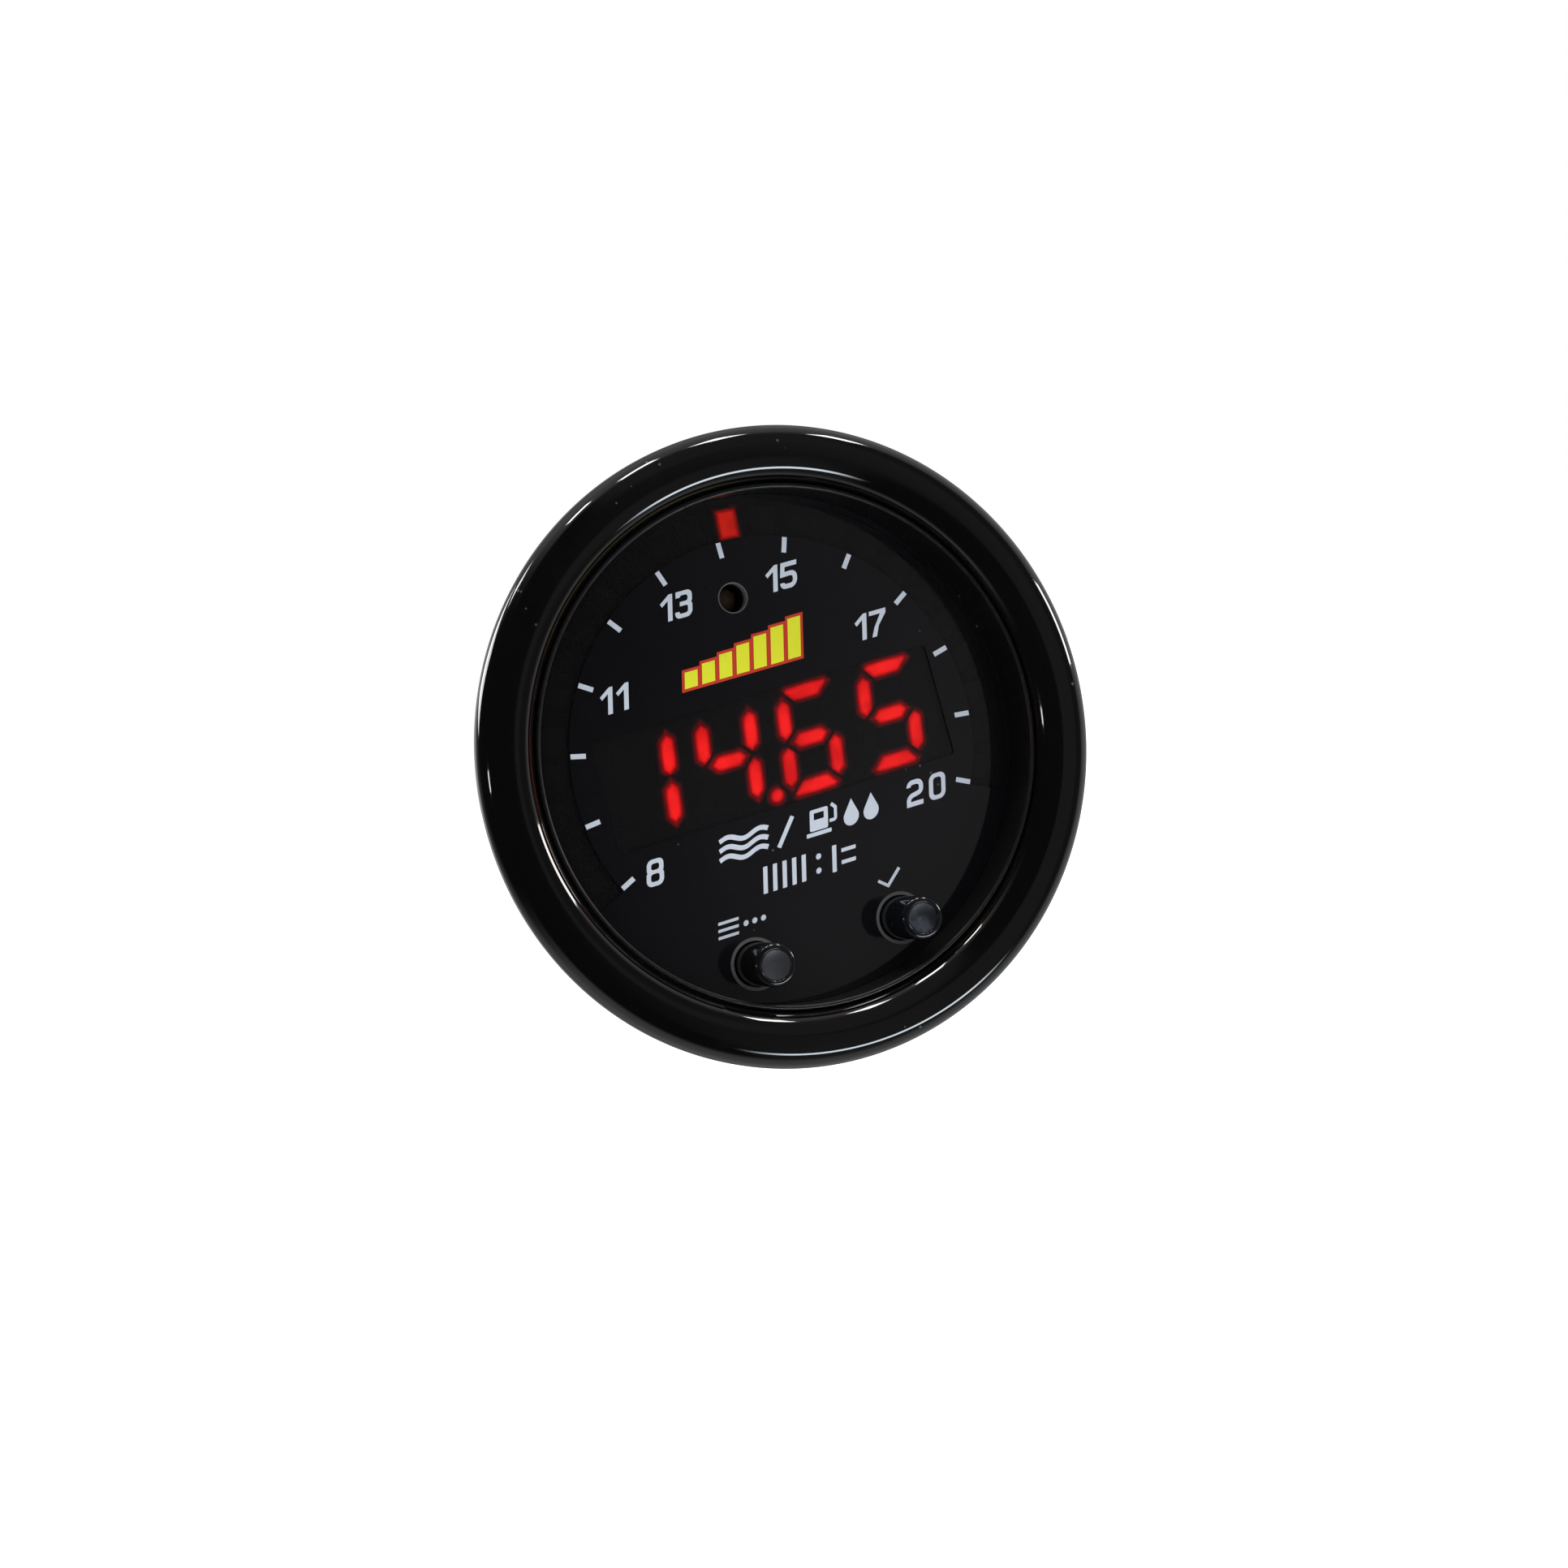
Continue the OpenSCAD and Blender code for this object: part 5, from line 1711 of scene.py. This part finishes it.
class MakeRear(bpy.types.Operator):
    """Finish the rear cover, and make its screws and the tapped bracket inserts."""

    bl_idname = "ratio_gauge.make_rear"
    bl_label = "Rear cover, screws and inserts"

    def execute(self, context):
        s = context.scene.ratio_gauge.rear
        paint("rear_cover", moulded_finish(
            "Cover plastic", (0.0065, 0.0065, 0.007), roughness=0.5, grain=2000, depth=0.000012))
        self.screws(s)
        self.inserts(s)
        return {"FINISHED"}

    def screws(self, s):
        """Three pan-head screws with a cross recess, from one template."""
        head = SCREWS_LOW.z + s.screw_head_height
        outline = fillet(
            [
                (0, SCREWS_LOW.z), (s.screw_head, SCREWS_LOW.z, 0.00045), (s.screw_head, head, 0.00005),
                (s.screw_shank, head), (s.screw_shank, SCREWS_HIGH.z, 0.0003), (0, SCREWS_HIGH.z),
            ],
            steps=10,
        )
        bm = bmesh.new()
        add_lathe(bm, outline, turns=64)
        steel = metal_finish("Screw plating", (0.6, 0.6, 0.62), roughness=0.3)
        template = make_object("screw_template", bm, steel)
        long, wide = s.recess_length / 2, s.recess_width / 2
        for x, y in ((long, wide), (wide, long)):
            corner = Vector((x, y, s.recess_depth))
            end = Vector((0, 0, SCREWS_LOW.z))
            carve(template, end - corner, end + corner)
        pattern, copies = copy_pattern("Cover screws")
        pattern.end(copies, steel)
        side = SCREWS_HIGH.x - s.screw_head
        top, bottom = SCREWS_HIGH.y - s.screw_head, SCREWS_LOW.y + s.screw_head
        places = [(side, top, 0), (-side, top, 0), (0, bottom, 0)]
        screws = pattern.bake("cover_screws", places, {"Template": template}, steel)
        bpy.data.objects.remove(template)
        seat(screws, GAUGE, "screw", "stack_screws")

    def inserts(self, s):
        """Two brass inserts: a threaded sleeve each, with knurls all round."""
        brass = metal_finish("Insert brass", (0.72, 0.53, 0.23), roughness=0.3)
        low, high = INSERTS_LOW.z, INSERTS_HIGH.z
        x = INSERTS_HIGH.x - s.insert_radius - s.knurl_radius
        thread = []
        turns = int((high - low - 2 * s.thread_pitch) / s.thread_pitch)
        for i in range(turns):
            z = high - s.thread_pitch * (i + 1)
            thread += [(s.insert_bore, z), (s.insert_bore + s.thread_pitch * 0.5, z - s.thread_pitch / 2)]
        outline = [(s.insert_radius, low, 0.0001), (s.insert_radius, high), (s.insert_bore, high), *thread,
                   (s.insert_bore, low, 0.0001)]
        bm = bmesh.new()
        for side in (-1, 1):
            add_lathe(bm, fillet(outline, steps=3), side * x, 0, turns=64)
        seat(make_object("insert_sleeves", bm, brass, sharp=25), GAUGE, "insert", "bracket_inserts")
        pattern, rings = ring_pattern("Insert knurls", "rod")
        pattern.end(rings, brass)
        values = {
            "Count": s.knurls, "Left out": -1, "First angle": 0.0, "Step": 2 * math.pi / s.knurls,
            "Radius": s.insert_radius, "Length": high - low - s.recess_width * 2, "Width": s.knurl_radius,
            "Thickness": 0.0,
        }
        centre = (low + high) / 2
        knurls = pattern.bake("insert_knurls", [(x, 0, centre), (-x, 0, centre)], values, brass)
        seat(knurls, GAUGE, "insert", "bracket_inserts")


# Lamps: a name, where it lies as seen from the gauge, its width and height, its power and its colour
LAMPS = (
    ("top_right", (0.653, -0.277, 0.705), 0.09, 0.08, 0.60, (1.0, 0.98, 0.94)),
    ("top", (0.336, -0.266, 0.903), 0.09, 0.08, 0.60, (1.0, 0.98, 0.95)),
    ("top_middle", (0.043, -0.166, 0.985), 0.09, 0.08, 0.60, (1.0, 0.98, 0.95)),
    ("top_left", (-0.231, -0.043, 0.972), 0.08, 0.07, 0.45, (1.0, 0.98, 0.95)),
    ("back_top", (-0.47, 0.46, 0.75), 0.10, 0.08, 0.30, (1.0, 0.98, 0.95)),
    ("right", (0.981, -0.187, 0.057), 0.13, 0.12, 0.90, (1.0, 0.98, 0.94)),
    ("left", (-0.929, -0.335, 0.159), 0.065, 0.05, 0.18, (0.9, 0.95, 1.0)),
    ("back_left", (-0.55, 0.70, 0.45), 0.30, 0.20, 1.50, (1.0, 1.0, 1.0)),
)


# The way from the gauge to the camera, and the camera's own up
CAMERA_BACK = Vector((-0.32473, -0.94413, 0.05624))
CAMERA_UP = Vector((0.27335, -0.03676, 0.96121))


class MakeStage(bpy.types.Operator):
    """Set the floor, the even light, the lamps and the camera."""

    bl_idname = "ratio_gauge.make_stage"
    bl_label = "Stage"

    def execute(self, context):
        s = context.scene.ratio_gauge.stage
        self.floor(s)
        self.world(context.scene, s)
        for name, direction, width, height, power, tint in LAMPS:
            self.lamp(s, name, Vector(direction).normalized(), width, height, power, tint)
        self.camera(context.scene, s)
        context.scene.view_settings.view_transform = "Standard"
        return {"FINISHED"}

    def floor(self, s):
        """The paper that the gauge hangs over."""
        bm = bmesh.new()
        where = Matrix.Translation((0, 0, s.floor))
        bmesh.ops.create_grid(bm, x_segments=8, y_segments=8, size=s.floor_half, matrix=where)
        mesh = bpy.data.meshes.new("floor")
        bm.to_mesh(mesh)
        bm.free()
        mesh.materials.append(stage_finish("Floor paper", (0.85, 0.85, 0.85), shown=0.8))
        add_object("floor", mesh)

    def world(self, scene, s):
        """White for the camera, an even light for what is dull, and the studio for what is shiny."""
        scene.world = bpy.data.worlds.new("Studio")
        scene.world.use_nodes = True
        tree = Tree(scene.world.node_tree)
        tree.nodes.clear()
        out = tree.nodes.new("ShaderNodeOutputWorld")
        studio = surroundings(tree, tree.node("ShaderNodeTexCoord", {}, {}, "Generated"))
        camera, glossy = tree.ray("Is Camera Ray"), tree.ray("Is Glossy Ray")
        clear = tree.ray("Is Transmission Ray")
        seen = camera.maths("MAXIMUM", camera, clear)
        level = seen + (1 - seen) * (glossy * studio + (1 - glossy) * s.world_level)
        shade = tree.node("ShaderNodeBackground", {}, {"Color": (1, 1, 1, 1), "Strength": level})
        tree.links.new(shade.socket, out.inputs["Surface"])

    def lamp(self, s, name, direction, width, height, power, tint):
        """One square lamp that faces the gauge."""
        data = bpy.data.lights.new(name, "AREA")
        data.shape = "RECTANGLE"
        data.size, data.size_y = width, height
        data.energy = power * s.lamp_level
        data.color = tint
        lamp = add_object(name, data)
        lamp.rotation_mode = "QUATERNION"
        lamp.rotation_quaternion = direction.to_track_quat("Z", "Y")
        lamp.location = direction * s.lamp_distance

    def camera(self, scene, s):
        """The photograph's viewpoint, with the horizon tilted as the photograph has it."""
        back, up = CAMERA_BACK.normalized(), CAMERA_UP
        right = up.cross(back).normalized()
        data = bpy.data.cameras.new("camera")
        data.sensor_width = 36.0
        data.lens = s.lens
        data.clip_start = 0.01
        camera = add_object("camera", data)
        turn = Matrix((right, back.cross(right), back)).transposed().to_4x4()
        camera.matrix_world = Matrix.Translation(s.camera) @ turn
        scene.camera = camera


MAKERS = (
    MakeBezel, MakeCase, MakeFace, MakeScale, MakeSymbols, MakeDisplay, MakeLightBars, MakeSensor,
    MakeButtons, MakeCircuit, MakeSockets, MakeRear, MakeStage,
)


class GaugePanel(bpy.types.Panel):
    """Lists the gauge's makers in the sidebar."""

    bl_idname = "VIEW3D_PT_ratio_gauge"
    bl_label = "Ratio gauge"
    bl_space_type = "VIEW_3D"
    bl_region_type = "UI"
    bl_category = "Gauge"

    def draw(self, context):
        for maker in MAKERS:
            self.layout.operator(maker.bl_idname, text=maker.bl_label)


CLASSES = (
    BezelSettings, CaseSettings, FaceSettings, ScaleSettings, DisplaySettings, BarSettings, ButtonSettings,
    RearSettings, StageSettings, GaugeSettings, *MAKERS, GaugePanel,
)


def register():
    for item in CLASSES:
        bpy.utils.register_class(item)
    bpy.types.Scene.ratio_gauge = PointerProperty(type=GaugeSettings)


def unregister():
    del bpy.types.Scene.ratio_gauge
    for item in reversed(CLASSES):
        bpy.utils.unregister_class(item)


def main():
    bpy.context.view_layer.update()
    register()
    for maker in MAKERS:
        group, name = maker.bl_idname.split(".")
        getattr(getattr(bpy.ops, group), name)()


if __name__ == "__main__":
    main()
